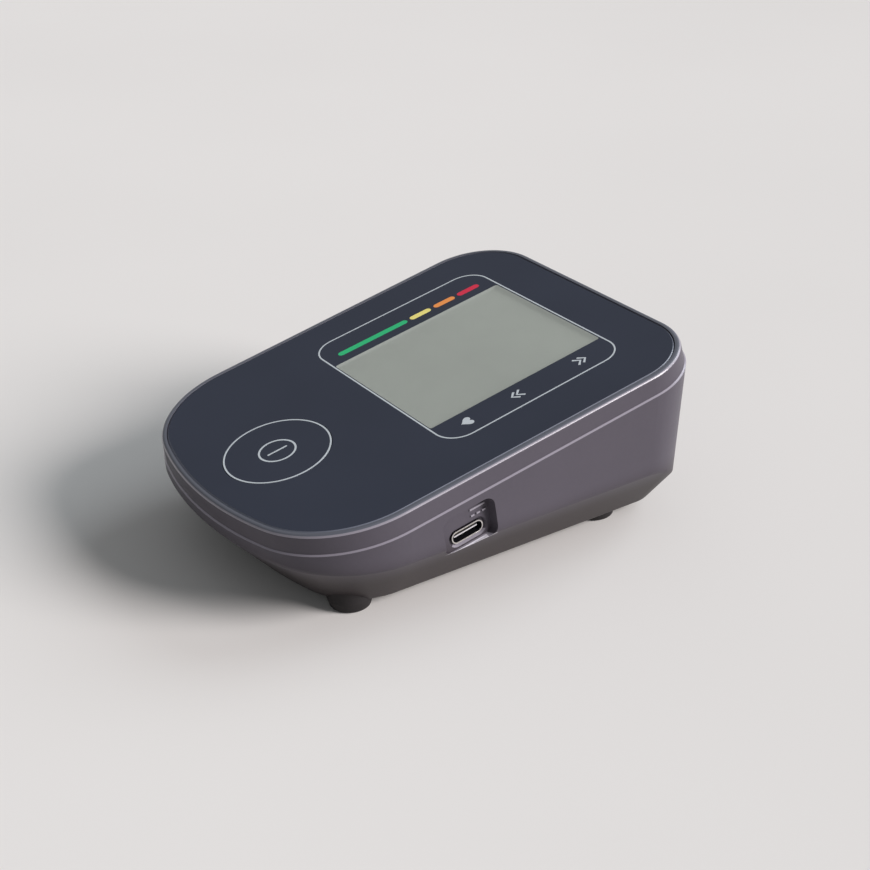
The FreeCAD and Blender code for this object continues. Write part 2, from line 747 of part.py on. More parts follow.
# Top case: rim and band round the panel, deck under it, screw bosses, board posts and lip
top_case = new_part("top_case", True)
loft(top_case, "band", [
    (lambda sketch: panel_outline(sketch, "rim_wide"), ("0", "0", "0"), None),
    (lambda sketch: panel_outline(sketch, "case_grow"), ("0", "0", "-seam_depth"), None),
])
soften(top_case, "Fillet", "rim", lambda middle, edge: abs(middle.z) < number("panel_bevel"), "rim_round")
cut(top_case, "recess", lambda sketch: panel_outline(sketch, "panel_gap"), "panel_thick")
cut(top_case, "room", lambda sketch: panel_outline(sketch, "top_inner_grow"), "seam_depth - deck_under",
    "-seam_depth", back=True)


def lip_ring(sketch):
    panel_outline(sketch, "lip_grow")
    panel_outline(sketch, "top_inner_grow")


pad(top_case, "lip", lip_ring, "lip_deep", "-seam_depth", back=True)
pad(top_case, "bosses", discs(screws, "boss_radius"), "boss_meet - deck_under", "-deck_under", back=True)
pad(top_case, "posts", discs(posts, "post_radius"), "board_top - deck_under", "-deck_under", back=True)
doc.recompute()
cut(top_case, "boss_pilots", discs(screws, "screw_radius + screw_pilot_gap"), "boss_meet - deck_under",
    "-boss_meet", back=True)
cut(top_case, "post_pilots", discs(posts, "board_screw_radius + screw_pilot_gap"), "board_screw_long",
    "-board_top", back=True)
cut(top_case, "lcd_opening", lambda sketch: centred(
    sketch, "0", "carrier_back", "lcd_wide + 2 * carrier_gap", "lcd_long + lcd_overhang + 2 * carrier_gap"))
cut(top_case, "button_hole", lambda sketch: circle(sketch, "0", "-button_fore", "button_hole"))

# Room inside the bottom case, with the columns, ribs and blocks that stand in it left out
hull_room = new_body("hull_room")
loft(hull_room, "facets", [
    (lambda sketch: hull_outline(sketch, "floor_wall", "case_wall"), ("0", "0", "under_top"), None),
    (lambda sketch: hull_outline(sketch, "hull_rise", "case_wall"), ("0", "0", "foot_tall + hull_rise"), None),
])
case_room = new_body("case_room")
loft(case_room, "walls", [
    (lambda sketch: wall_outline(sketch, "floor_wall", "case_wall"), ("0", "0", "under_top"), None),
    (lambda sketch: panel_outline(sketch, "base_grow - case_wall"),
     ("0", "seam_y - overrun * sin_tilt", "seam_mid + overrun * cos_tilt"), "tilt"),
])
combine(case_room, "Common", hull_room)
cut(case_room, "foot_columns", discs(feet, "foot_radius + foot_gap + foot_wall"), level="foot_seat + foot_wall")
cut(case_room, "screw_columns", discs(screws, "boss_radius"), lean="tilt",
    place=("0", "panel_y + boss_meet * sin_tilt"), level="panel_height - boss_meet * cos_tilt")
cut(case_room, "battery_block", lambda sketch: rectangle(
    sketch, "-well_half - well_wall", "well_half + well_wall", "-well_front - well_wall",
    "well_rear + well_wall"), level="roof_top")
cut(case_room, "saddles", lambda sketch: [rectangle(
    sketch, middle + " - saddle_thick / 2", middle + " + saddle_thick / 2", "saddle_fore", "panel_reach + base_grow")
    for middle in ("motor_saddle", "head_saddle")], level="saddle_top")
cut(case_room, "usb_block", lambda sketch: rectangle(
    sketch, "usb_block", "base_half + rim_wide + ledge", "-recess_fore - recess_long / 2 - usb_block_wall",
    "-recess_fore + recess_long / 2 + usb_block_wall"), "usb_block_under - usb_block_top", lean="tilt",
    place=("0", "panel_y + usb_block_top * sin_tilt"), level="panel_height - usb_block_top * cos_tilt")

# Bottom case: drafted walls trimmed by the hull's facets, hollowed, with its openings
hull_facets = new_body("hull_facets")
loft(hull_facets, "facets", [
    (lambda sketch: hull_outline(sketch, "0", "0"), ("0", "0", "foot_tall"), None),
    (lambda sketch: hull_outline(sketch, "hull_rise", "0"), ("0", "0", "foot_tall + hull_rise"), None),
])
bottom_case = new_part("bottom_case")
loft(bottom_case, "walls", [
    (lambda sketch: wall_outline(sketch, "0", "0"), ("0", "0", "foot_tall"), None),
    (lambda sketch: panel_outline(sketch, "base_grow"),
     ("0", "seam_y + ledge_bevel * sin_tilt", "seam_mid - ledge_bevel * cos_tilt"), "tilt"),
    (lambda sketch: panel_outline(sketch, "base_grow - ledge_bevel"), ("0", "seam_y", "seam_mid"), "tilt"),
])
combine(bottom_case, "Common", hull_facets)


def below_seam(point):
    """The distance of a point below the seam's plane."""
    return ((number("seam_mid") - point.z) * number("cos_tilt")
            + (point.y - number("seam_y")) * number("sin_tilt"))


soften(bottom_case, "Fillet", "crease", lambda middle, edge: below_seam(middle) > number("overrun")
       and middle.z > number("foot_tall + overrun"), "crease_round")
soften(bottom_case, "Fillet", "underside", lambda middle, edge: middle.z < number("foot_tall + panel_gap"),
       "under_round")
combine(bottom_case, "Cut", case_room)
cut(bottom_case, "foot_recesses", discs(feet, "foot_radius + foot_gap"), level="foot_seat")
cut(bottom_case, "screw_channels", discs(screws, "screw_head + screw_gap"), lean="tilt",
    place=("0", "panel_y + (boss_meet + boss_web) * sin_tilt"),
    level="panel_height - (boss_meet + boss_web) * cos_tilt")
cut(bottom_case, "screw_holes", discs(screws, "screw_radius + screw_gap"), "boss_web + overrun", lean="tilt",
    place=("0", "panel_y + boss_meet * sin_tilt"), level="panel_height - boss_meet * cos_tilt")
cut(bottom_case, "well", lambda sketch: rectangle(sketch, "-well_half", "well_half", "-well_front", "well_rear"),
    "roof_under - under_top", "roof_under")
cut(bottom_case, "opening", lambda sketch: rectangle(
    sketch, "-opening_half", "opening_half", "opening_front", "opening_rear"), level="under_top + overrun")
cut(bottom_case, "rebate", lambda sketch: rectangle(
    sketch, "-rebate_half", "rebate_half", "opening_front", "rebate_rear"), level="foot_tall + door_rebate")
cut(bottom_case, "motor_saddle", lambda sketch: circle(
    sketch, "pump_back", "pump_lift", "motor_radius + saddle_gap"), "saddle_thick + 2 * overrun",
    "motor_saddle + saddle_thick / 2 + overrun", "YZ_Plane")
cut(bottom_case, "head_saddle", lambda sketch: circle(
    sketch, "pump_back", "pump_lift", "head_radius + saddle_gap"), "saddle_thick + 2 * overrun",
    "head_saddle + saddle_thick / 2 + overrun", "YZ_Plane")
cut(bottom_case, "usb_recess", lambda sketch: rounded(
    sketch, "0", "0", "recess_long", "recess_tall", "recess_corner"), "recess_deep + 2 * case_wall", "recess_floor",
    "YZ_Plane", True, ("recess_y", "recess_z"), spin="tilt", flare="recess_flare")
cut(bottom_case, "usb_pocket", lambda sketch: rounded(
    sketch, "0", "0", "usb_wide + 2 * pocket_margin", "usb_tall + 2 * pocket_margin",
    "(usb_tall + 2 * pocket_margin) * stadium_share"), "pocket_deep + overrun", "recess_floor - pocket_deep",
    "YZ_Plane", True, ("usb_y", "usb_z"), spin="tilt", flare="pocket_flare")
cut(bottom_case, "usb_hole", lambda sketch: rounded(
    sketch, "0", "0", "usb_wide + 2 * usb_gap", "usb_tall + 2 * usb_gap",
    "(usb_tall + 2 * usb_gap) * stadium_share"), level="usb_inner", plane="YZ_Plane",
    back=True, place=("usb_y", "usb_z"), spin="tilt")
cut(bottom_case, "socket_hole", lambda sketch: circle(
    sketch, "air_back", "air_z", "socket_body + socket_gap"), level="-socket_inner", plane="YZ_Plane")
cut(bottom_case, "socket_recess", lambda sketch: circle(
    sketch, "air_back", "air_z", "socket_flange + socket_gap"), level="socket_flange_thick - socket_face",
    plane="YZ_Plane")

# Rubber feet plugged into the underside
for side, end in FEET:
    foot = new_part("foot_%s_%s" % ("front" if end < 0 else "rear", "left" if side < 0 else "right"))
    turned(foot, "profile", [
        ("0", "0"), ("foot_tip_radius", "0"), ("foot_radius", "foot_tall"), ("foot_radius", "foot_seat"),
        ("0", "foot_seat")], (times(side, "foot_side"), "0", "-foot_rear" if end > 0 else "foot_front"))
    doc.recompute()
    soften(foot, "Fillet", "edge", lambda middle, edge: middle.z < number("panel_gap"), "foot_round")

# Display: clear window flush in the panel, two sheets of glass in the deck, carrier plate and connector strip
display_window = new_part("display_window", True)
pad(display_window, "pane", lambda sketch: rounded(
    sketch, "0", "window_back", "window_wide - 2 * window_gap", "window_long - 2 * window_gap",
    "window_corner"), "panel_thick", back=True)
lcd_front = new_part("lcd_front_glass", True)
pad(lcd_front, "sheet", lambda sketch: centred(
    sketch, "0", "carrier_back", "lcd_wide", "lcd_long + lcd_overhang"), "lcd_sheet", "-panel_thick", back=True)
lcd_rear = new_part("lcd_rear_glass", True)
pad(lcd_rear, "sheet", lambda sketch: centred(sketch, "0", "window_back", "lcd_wide", "lcd_long"), "lcd_sheet",
    "-panel_thick - lcd_sheet", back=True)
lcd_carrier = new_part("lcd_carrier", True)
pad(lcd_carrier, "plate", lambda sketch: rounded(
    sketch, "0", "carrier_back", "carrier_wide", "carrier_long", "carrier_wall"), "carrier_floor",
    "-deck_under", back=True)


def carrier_rim(sketch):
    rounded(sketch, "0", "carrier_back", "carrier_wide", "carrier_long", "carrier_wall")
    centred(sketch, "0", "carrier_back", "carrier_wide - 2 * carrier_wall", "carrier_long - 2 * carrier_wall")


pad(lcd_carrier, "rib", carrier_rim, "carrier_rib", "-carrier_under", back=True)
doc.recompute()
cut(lcd_carrier, "strip_slot", lambda sketch: centred(
    sketch, "0", "strip_back", "strip_long + 2 * carrier_gap", "strip_thick + carrier_gap"))
strip = new_part("connector_strip", True)
pad(strip, "bar", lambda sketch: centred(sketch, "0", "strip_back", "strip_long", "strip_thick"),
    "board_top - panel_thick - lcd_sheet", "-panel_thick - lcd_sheet", back=True)

# Start button with its skirt, flange and stem
start_button = new_part("start_button", True)
pad(start_button, "cap", lambda sketch: circle(sketch, "0", "-button_fore", "button_radius"), "flange_under",
    back=True)
doc.recompute()
soften(start_button, "Chamfer", "bevel", lambda middle, edge: abs(middle.z) < number("panel_bevel"),
       "button_bevel")
pad(start_button, "flange", lambda sketch: circle(sketch, "0", "-button_fore", "button_hole + button_flange"),
    "button_flange_thick", "-flange_under")
doc.recompute()
cut(start_button, "room", lambda sketch: circle(sketch, "0", "-button_fore", "button_radius - button_skirt"),
    "flange_under - button_thick", "-flange_under", back=True)
pad(start_button, "stem", lambda sketch: circle(sketch, "0", "-button_fore", "button_stem"),
    "plunger_face - button_thick", "-button_thick", back=True)

# Main board with the switch, chip and buzzer on its upper face
main_board = new_part("main_board", True)
pad(main_board, "plate", lambda sketch: polygon(sketch, [
    ("-board_nose_half", "-board_nose"), ("board_nose_half", "-board_nose"), ("board_half", "-board_shoulder"),
    ("board_half", "board_back"), ("-board_half", "board_back"), ("-board_half", "-board_shoulder")]),
    "board_thick", "-board_top", back=True)
doc.recompute()
cut(main_board, "notches", discs(screws[:2], "boss_radius + board_notch_gap"))
cut(main_board, "screw_holes", discs(posts, "board_screw_radius + screw_gap"))
switch_body = new_part("switch_body", True)
pad(switch_body, "block", lambda sketch: centred(sketch, "0", "-button_fore", "switch_wide", "switch_wide"),
    "switch_tall", "-board_top")
doc.recompute()
cut(switch_body, "hole", lambda sketch: circle(sketch, "0", "-button_fore", "plunger_radius + running_gap"),
    "plunger_sunk + 2 * button_travel", "-switch_face")
switch_plunger = new_part("switch_plunger", True)
pad(switch_plunger, "pin", lambda sketch: circle(sketch, "0", "-button_fore", "plunger_radius"),
    "plunger_rise + plunger_sunk", "-plunger_face", back=True)
chip = new_part("control_chip", True)
pad(chip, "block", lambda sketch: centred(sketch, "chip_side", "-chip_fore", "chip_wide", "chip_wide"), "chip_tall",
    "-board_top")
buzzer = new_part("buzzer", True)
pad(buzzer, "can", lambda sketch: circle(sketch, "-buzzer_side", "-buzzer_fore", "buzzer_radius"), "buzzer_tall",
    "-board_top")
doc.recompute()
cut(buzzer, "port", lambda sketch: circle(sketch, "-buzzer_side", "-buzzer_fore", "buzzer_port"),
    "buzzer_tall / 2", "buzzer_tall - board_top")

# USB socket: drawn shell with a tongue on a plug at its rear
usb_shell = new_part("usb_shell", True)
pad(usb_shell, "shell", lambda sketch: rounded(
    sketch, "-usb_fore", "-usb_depth", "usb_wide", "usb_tall", "usb_tall * stadium_share"), "usb_long", "usb_inner",
    "YZ_Plane")
doc.recompute()
cut(usb_shell, "mouth", lambda sketch: rounded(
    sketch, "-usb_fore", "-usb_depth", "usb_wide - 2 * usb_shell", "usb_tall - 2 * usb_shell",
    "(usb_tall - 2 * usb_shell) * stadium_share"), level="usb_face", plane="YZ_Plane")
usb_tongue = new_part("usb_tongue", True)
pad(usb_tongue, "plug", lambda sketch: rounded(
    sketch, "-usb_fore", "-usb_depth", "usb_wide - 2 * usb_shell", "usb_tall - 2 * usb_shell",
    "(usb_tall - 2 * usb_shell) * stadium_share"), "tongue_base", "usb_inner", "YZ_Plane")
pad(usb_tongue, "tongue", lambda sketch: centred(
    sketch, "-usb_fore", "-usb_depth", "tongue_wide", "tongue_thick"), "usb_long - tongue_base - tongue_back",
    "usb_inner + tongue_base", "YZ_Plane")

# Screws: four in the case from below, four holding the board to its posts
for index, (x, y) in enumerate(screws, 1):
    screw = new_part("case_screw_%d" % index, True)
    pad(screw, "head", lambda sketch: circle(sketch, x, y, "screw_head"), "screw_head_tall",
        "-boss_meet - boss_web", back=True)
    pad(screw, "shank", lambda sketch: circle(sketch, x, y, "screw_radius"), "screw_long", "-boss_meet - boss_web")
for index, (x, y) in enumerate(posts, 1):
    screw = new_part("board_screw_%d" % index, True)
    pad(screw, "head", lambda sketch: circle(sketch, x, y, "board_screw_head"), "board_screw_head_tall",
        "-board_under", back=True)
    pad(screw, "shank", lambda sketch: circle(sketch, x, y, "board_screw_radius"), "board_screw_long",
        "-board_under")

# Cells lie across the case and point left and right by turns
for index in CELLS:
    cell = new_part("cell_%d" % (index + 1))
    points_left = index % 2
    pad(cell, "can", lambda sketch: circle(sketch, cell_y[index], "cell_height", "cell_radius"),
        "cell_long - cell_nub_tall", "cell_nub_tall - cell_long / 2" if points_left else "-cell_long / 2",
        "YZ_Plane")
    doc.recompute()
    soften(cell, "Fillet", "edges", lambda middle, edge: True, "cell_round")
    pad(cell, "nub", lambda sketch: circle(sketch, cell_y[index], "cell_height", "cell_nub"), "cell_nub_tall",
        "-cell_long / 2" if points_left else "cell_long / 2 - cell_nub_tall", "YZ_Plane")


def contact(label, first, last, side):
    """A sprung contact strip on an end wall of the battery compartment, with a bump for each cell."""
    body = new_part(label)
    pad(body, "strip", lambda sketch: rectangle(
        sketch, cell_y[first] + " - contact_wide / 2", cell_y[last] + " + contact_wide / 2",
        "cell_height - contact_wide / 2", "cell_height + contact_wide / 2"), "contact_thick",
        times(side, "well_half"), "YZ_Plane", side > 0)
    pad(body, "bumps", each(lambda sketch, y: circle(sketch, y, "cell_height", "contact_bump_radius"),
                            [(cell_y[index],) for index in range(first, last + 1)]), "contact_bump",
        times(side, "well_half - contact_thick"), "YZ_Plane", side > 0)


contact("contact_right_front", 0, 1, 1)
contact("contact_right_rear", 2, 3, 1)
contact("contact_left_front", 0, 0, -1)
contact("contact_left_middle", 1, 2, -1)
contact("contact_left_rear", 3, 3, -1)

# Battery door: plate with two hooks at its front edge and a latch tongue at its rear
battery_door = new_part("battery_door")
pad(battery_door, "plate", lambda sketch: rectangle(
    sketch, "-door_half", "door_half", "door_front", "door_rear"), "door_thick", "foot_tall")
for side in (-1, 1):
    pad(battery_door, "hook_right" if side > 0 else "hook_left", lambda sketch: polygon(sketch, [
        ("door_front", "door_top"), ("door_front + hook_riser", "door_top"),
        ("door_front + hook_riser", "hook_under + hook_thick"),
        ("opening_front - hook_reach", "hook_under + hook_thick"), ("opening_front - hook_reach", "hook_under"),
        ("door_front", "hook_under")]), "hook_wide", times(side, "hook_side") + " - hook_wide / 2", "YZ_Plane")
doc.recompute()
cut(battery_door, "latch_slots", each(lambda sketch, x: centred(
    sketch, x, "door_rear - latch_long / 2 + overrun / 2", "latch_slot", "latch_long + overrun"),
    [(times(side, "latch_wide / 2"),) for side in (-1, 1)]), level="door_top")
cut(battery_door, "grip", lambda sketch: rounded(
    sketch, "0", "door_rear - latch_long / 2", "latch_wide - 3 * latch_slot", "latch_long / 2",
    "latch_slot"), "grip_deep", "foot_tall", back=True)

# Pump motor, its axis along the width of the case


def on_axis(radius):
    return discs([("pump_back", "pump_lift")], radius)


motor_can = new_part("motor_can")
pad(motor_can, "can", on_axis("motor_radius"), "motor_long", "pump_x", "YZ_Plane")
doc.recompute()
cut(motor_can, "room", on_axis("motor_radius - motor_wall"), "motor_long - motor_wall", "motor_right", "YZ_Plane")
cut(motor_can, "shaft_hole", on_axis("shaft_radius + running_gap"), None, "motor_right", "YZ_Plane")
motor_cap = new_part("motor_cap")
pad(motor_cap, "disc", on_axis("motor_radius - motor_wall"), "motor_cap", "motor_right - motor_cap", "YZ_Plane")
doc.recompute()
cut(motor_cap, "shaft_hole", on_axis("shaft_radius + running_gap"), None, "motor_right", "YZ_Plane")


def magnet(label, low, high):
    """A curved magnet: a ring with the part between two heights beside the axis cut away."""
    body = new_part(label)
    pad(body, "ring", on_axis("motor_radius - motor_wall"), "magnet_long",
        "pump_x + (motor_long - motor_cap - magnet_long) / 2", "YZ_Plane")
    doc.recompute()
    cut(body, "bore", on_axis("motor_radius - motor_wall - magnet_thick"), None, "motor_right", "YZ_Plane")
    cut(body, "split", lambda sketch: rectangle(
        sketch, "pump_back - motor_radius", "pump_back + motor_radius", "pump_lift + " + low, "pump_lift + " + high),
        None, "motor_right", "YZ_Plane")


magnet("magnet_upper", "-motor_radius", "magnet_arc_gap / 2")
magnet("magnet_lower", "-magnet_arc_gap / 2", "motor_radius")
armature = new_part("armature")
pad(armature, "core", on_axis("armature_radius"), "armature_long", "pump_x + (motor_long - motor_cap - armature_long) / 2",
    "YZ_Plane")
doc.recompute()
cut(armature, "shaft_hole", on_axis("shaft_radius"), None, "motor_right", "YZ_Plane")
cut(armature, "slots", each(lambda sketch, y, z: circle(sketch, y, z, "armature_radius / 4"), [
    ("pump_back + armature_radius * cos(%d deg)" % angle, "pump_lift + armature_radius * sin(%d deg)" % angle)
    for angle in (90, 210, 330)]), None, "motor_right", "YZ_Plane")
shaft = new_part("motor_shaft")
pad(shaft, "rod", on_axis("shaft_radius"), "motor_right + shaft_tail - crank_left", "crank_left", "YZ_Plane")
crank = new_part("crank")
pad(crank, "disc", on_axis("crank_radius"), "crank_thick", "crank_left", "YZ_Plane")
pad(crank, "pin", lambda sketch: circle(sketch, "pump_back + crank_throw", "pump_lift", "crank_pin_radius"),
    "crank_pin_long", "crank_left", "YZ_Plane", True)
doc.recompute()
cut(crank, "shaft_hole", on_axis("shaft_radius"), "crank_thick", "crank_right", "YZ_Plane")

# Pump head: base round the crank, diaphragm with three bellows, cap with the outlet
pump_base = new_part("pump_base")
pad(pump_base, "cup", on_axis("head_radius"), "head_long", "head_left", "YZ_Plane")
doc.recompute()
cut(pump_base, "room", on_axis("head_radius - head_wall"), "head_long - head_wall", "head_left", "YZ_Plane", True)
cut(pump_base, "shaft_hole", on_axis("2 * shaft_radius"), None, "pump_x", "YZ_Plane")
bellows = [("pump_back + bellows_ring * cos(%d deg)" % angle, "pump_lift + bellows_ring * sin(%d deg)" % angle)
           for angle in (90, 210, 330)]
diaphragm = new_part("diaphragm")
pad(diaphragm, "sheet", on_axis("head_radius"), "diaphragm_thick", "diaphragm_left", "YZ_Plane")
pad(diaphragm, "bellows", discs(bellows, "bellows_radius"), "bellows_long", "head_left", "YZ_Plane")
pump_cap = new_part("pump_cap")
pad(pump_cap, "cap", on_axis("head_radius"), "head_cap", "cap_left", "YZ_Plane")
pad(pump_cap, "outlet", lambda sketch: circle(sketch, "manifold_x", "air_z", "nipple_radius"),
    "nipple_long + head_wall", "-pump_front - head_wall", "XZ_Plane")
doc.recompute()
cut(pump_cap, "room", on_axis("head_radius - head_wall"), "head_cap - head_wall", "diaphragm_left", "YZ_Plane")
cut(pump_cap, "outlet_bore", lambda sketch: circle(sketch, "manifold_x", "air_z", "nipple_bore"),
    "nipple_long + 2 * head_wall", "nipple_long - pump_front", "XZ_Plane")

# Exhaust valve and air manifold on the roof of the battery compartment
valve_body = new_part("valve_body")
pad(valve_body, "block", lambda sketch: centred(
    sketch, "air_back", "air_z", "valve_tall", "valve_tall"), "valve_long", "valve_left", "YZ_Plane")
pad(valve_body, "nipple", lambda sketch: circle(sketch, "air_back", "air_z", "nipple_radius"), "nipple_long",
    "valve_left", "YZ_Plane", True)
doc.recompute()
cut(valve_body, "chamber", lambda sketch: circle(sketch, "air_back", "air_z", "valve_bore"), "bore_deep",
    "valve_right", "YZ_Plane")
cut(valve_body, "nipple_bore", lambda sketch: circle(sketch, "air_back", "air_z", "nipple_bore"), None,
    "valve_right", "YZ_Plane")
stopper = new_part("valve_plunger")
pad(stopper, "rod", lambda sketch: circle(sketch, "air_back", "air_z", "valve_bore - running_gap"), "stopper_long",
    "valve_left + valve_seat + valve_rest_gap", "YZ_Plane")
manifold = new_part("air_manifold")
pad(manifold, "block", lambda sketch: centred(
    sketch, "air_back", "air_z", "manifold_wide", "valve_tall"), "manifold_wide", "manifold_left", "YZ_Plane")
pad(manifold, "side_nipples", lambda sketch: circle(sketch, "air_back", "air_z", "nipple_radius"),
    "manifold_wide + 2 * nipple_long", "manifold_left - nipple_long", "YZ_Plane")
pad(manifold, "end_nipples", lambda sketch: circle(sketch, "manifold_x", "air_z", "nipple_radius"),
    "manifold_wide + 2 * nipple_long", "-manifold_rear - nipple_long", "XZ_Plane")
doc.recompute()
cut(manifold, "side_bore", lambda sketch: circle(sketch, "air_back", "air_z", "nipple_bore"), None,
    "manifold_right + nipple_long", "YZ_Plane")
cut(manifold, "end_bore", lambda sketch: circle(sketch, "manifold_x", "air_z", "nipple_bore"), None,
    "nipple_long - manifold_front", "XZ_Plane")

# Cuff air socket through the left wall
air_socket = new_part("air_socket")
pad(air_socket, "flange", lambda sketch: circle(sketch, "air_back", "air_z", "socket_flange"),
    "socket_flange_thick", "-socket_face", "YZ_Plane")
pad(air_socket, "body", lambda sketch: circle(sketch, "air_back", "air_z", "socket_body"),
    "socket_face - socket_inner", "-socket_face", "YZ_Plane")
pad(air_socket, "barb", lambda sketch: circle(sketch, "air_back", "air_z", "nipple_radius"), "nipple_long",
    "-socket_inner", "YZ_Plane")
doc.recompute()
cut(air_socket, "bore", lambda sketch: circle(sketch, "air_back", "air_z", "socket_bore"), "socket_bore_long",
    "-socket_face", "YZ_Plane", True)
cut(air_socket, "barb_bore", lambda sketch: circle(sketch, "air_back", "air_z", "nipple_bore"), None,
    "-socket_face", "YZ_Plane", True)

# Straight air tubes pushed over the nipples
hollow("socket_tube", "YZ_Plane", "tube_end_gap - socket_inner", "socket_inner + manifold_left - 2 * tube_end_gap",
       "air_back", "air_z", "tube_radius", "tube_bore")
hollow("valve_tube", "YZ_Plane", "manifold_right + tube_end_gap", "valve_left - manifold_right - 2 * tube_end_gap",
       "air_back", "air_z", "tube_radius", "tube_bore")
hollow("pump_tube", "XZ_Plane", "tube_end_gap - pump_front", "pump_front - manifold_rear - 2 * tube_end_gap",
       "manifold_x", "air_z", "tube_radius", "tube_bore")

# Pressure sensor standing on the roof, joined to the manifold by a straight tube
sensor = new_part("pressure_sensor")
pad(sensor, "block", lambda sketch: centred(
    sketch, "manifold_x", "air_z", "sensor_wide", "valve_tall"), "sensor_thick", "-sensor_rear", "XZ_Plane")
pad(sensor, "port", lambda sketch: circle(sketch, "manifold_x", "air_z", "nipple_radius"), "nipple_long",
    "-sensor_rear", "XZ_Plane", True)
doc.recompute()
cut(sensor, "port_bore", lambda sketch: circle(sketch, "manifold_x", "air_z", "nipple_bore"), "nipple_long",
    "-sensor_rear - nipple_long", "XZ_Plane", True)
hollow("sensor_tube", "XZ_Plane", "tube_end_gap - manifold_front", "sensor_run - 2 * tube_end_gap", "manifold_x",
       "air_z", "tube_radius", "tube_bore")

doc.recompute()
for item in doc.Objects:
    if "Invalid" in item.State or "Error" in item.State:
        raise ValueError("%s is not built" % item.Name)
os.makedirs("parts", exist_ok=True)
for body in subparts:
    if body.Shape.isNull() or not body.Shape.isValid():
        raise ValueError("%s has no valid shape" % body.Label)
    body.Shape.exportStep("parts/%s.step" % body.Label)
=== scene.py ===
import json
import math

import bmesh
import bpy
from mathutils import Matrix, Vector


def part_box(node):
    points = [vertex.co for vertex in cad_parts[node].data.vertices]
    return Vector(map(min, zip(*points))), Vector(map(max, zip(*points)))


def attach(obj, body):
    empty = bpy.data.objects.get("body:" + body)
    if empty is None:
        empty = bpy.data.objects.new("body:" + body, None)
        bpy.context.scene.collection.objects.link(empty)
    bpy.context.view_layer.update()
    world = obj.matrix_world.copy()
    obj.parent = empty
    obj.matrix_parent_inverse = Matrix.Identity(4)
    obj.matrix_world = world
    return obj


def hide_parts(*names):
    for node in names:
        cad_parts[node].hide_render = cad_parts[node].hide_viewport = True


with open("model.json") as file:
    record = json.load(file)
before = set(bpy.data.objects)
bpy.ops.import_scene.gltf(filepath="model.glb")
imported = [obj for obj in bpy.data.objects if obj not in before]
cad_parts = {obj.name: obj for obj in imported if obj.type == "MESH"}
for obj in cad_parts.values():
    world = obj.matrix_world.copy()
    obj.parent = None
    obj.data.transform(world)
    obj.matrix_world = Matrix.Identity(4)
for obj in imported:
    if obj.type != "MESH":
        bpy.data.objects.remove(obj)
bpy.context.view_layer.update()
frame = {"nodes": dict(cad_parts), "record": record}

# Home blood pressure monitor: finishes, prints on the panel, screws and other small pieces
MM = 0.001
QUARTER = math.radians(90.0)

# The panel's frame: millimetres along its width and length, with zero height on its face
PANEL_TILT = math.radians(11.0)
PANEL_BACK = -0.9185
PANEL_LIFT = 36.5
TABLE_SPACE = Matrix.Scale(MM, 4)
PANEL_SPACE = (TABLE_SPACE @ Matrix.Translation((0.0, PANEL_BACK, PANEL_LIFT))
               @ Matrix.Rotation(PANEL_TILT, 4, "X"))


def paint(red, green, blue):
    """A screen colour of 0 to 255 as the linear colour that a shader takes, by the standard screen curve."""
    def linear(value):
        share = value / 255.0
        return share / 12.92 if share <= 0.04045 else ((share + 0.055) / 1.055) ** 2.4
    return (linear(red), linear(green), linear(blue), 1.0)


def tinted(colour, share):
    """The colour made lighter or darker by a share."""
    return tuple(min(1.0, value * share) for value in colour[:3]) + (1.0,)


def linked(name, data):
    """A new object in the scene."""
    item = bpy.data.objects.new(name, data)
    bpy.context.scene.collection.objects.link(item)
    return item


class Signal:
    """An output socket of a node tree; arithmetic on it adds Math nodes."""

    def __init__(self, tree, socket):
        self.tree = tree
        self.socket = socket

    def combine(self, operation, first, second):
        return self.tree.node("ShaderNodeMath", {"operation": operation}, {0: first, 1: second})

    def __add__(self, other):
        return self.combine("ADD", self, other)

    __radd__ = __add__

    def __sub__(self, other):
        return self.combine("SUBTRACT", self, other)

    def __rsub__(self, other):
        return self.combine("SUBTRACT", other, self)

    def __mul__(self, other):
        return self.combine("MULTIPLY", self, other)

    __rmul__ = __mul__

    def __truediv__(self, other):
        return self.combine("DIVIDE", self, other)

    def __gt__(self, other):
        return self.combine("GREATER_THAN", self, other)

    def __lt__(self, other):
        return self.combine("LESS_THAN", self, other)

    def __mod__(self, other):
        return self.combine("FLOORED_MODULO", self, other)

    def __abs__(self):
        return self.combine("ABSOLUTE", self, 0.0)

    def either(self, other):
        """The greater of two signals."""
        return self.combine("MAXIMUM", self, other)

    def output(self, name):
        """Another output of the same node."""
        return Signal(self.tree, self.socket.node.outputs[name])


def blended(first, second, share):
    """A share of the first signal and the rest of the second."""
    return first * share + second * (1.0 - share)


class NodeTree:
    """A node tree that is filled through one method."""

    def __init__(self, tree):
        self.tree = tree

    def node(self, kind, settings=None, sockets=None, output=0):
        made = self.tree.nodes.new(kind)
        for key, value in (settings or {}).items():
            if key == "stops":
                elements = made.color_ramp.elements
                while len(elements) < len(value):
                    elements.new(1.0)
                for element, (position, colour) in zip(elements, value):
                    element.position = position
                    element.color = colour
            else:
                setattr(made, key, value)
        for key, value in (sockets or {}).items():
            for part in value if isinstance(value, list) else [value]:
                if isinstance(part, Signal):
                    self.tree.links.new(part.socket, made.inputs[key])
                else:
                    made.inputs[key].default_value = part
        return Signal(self, made.outputs[output]) if made.outputs else None


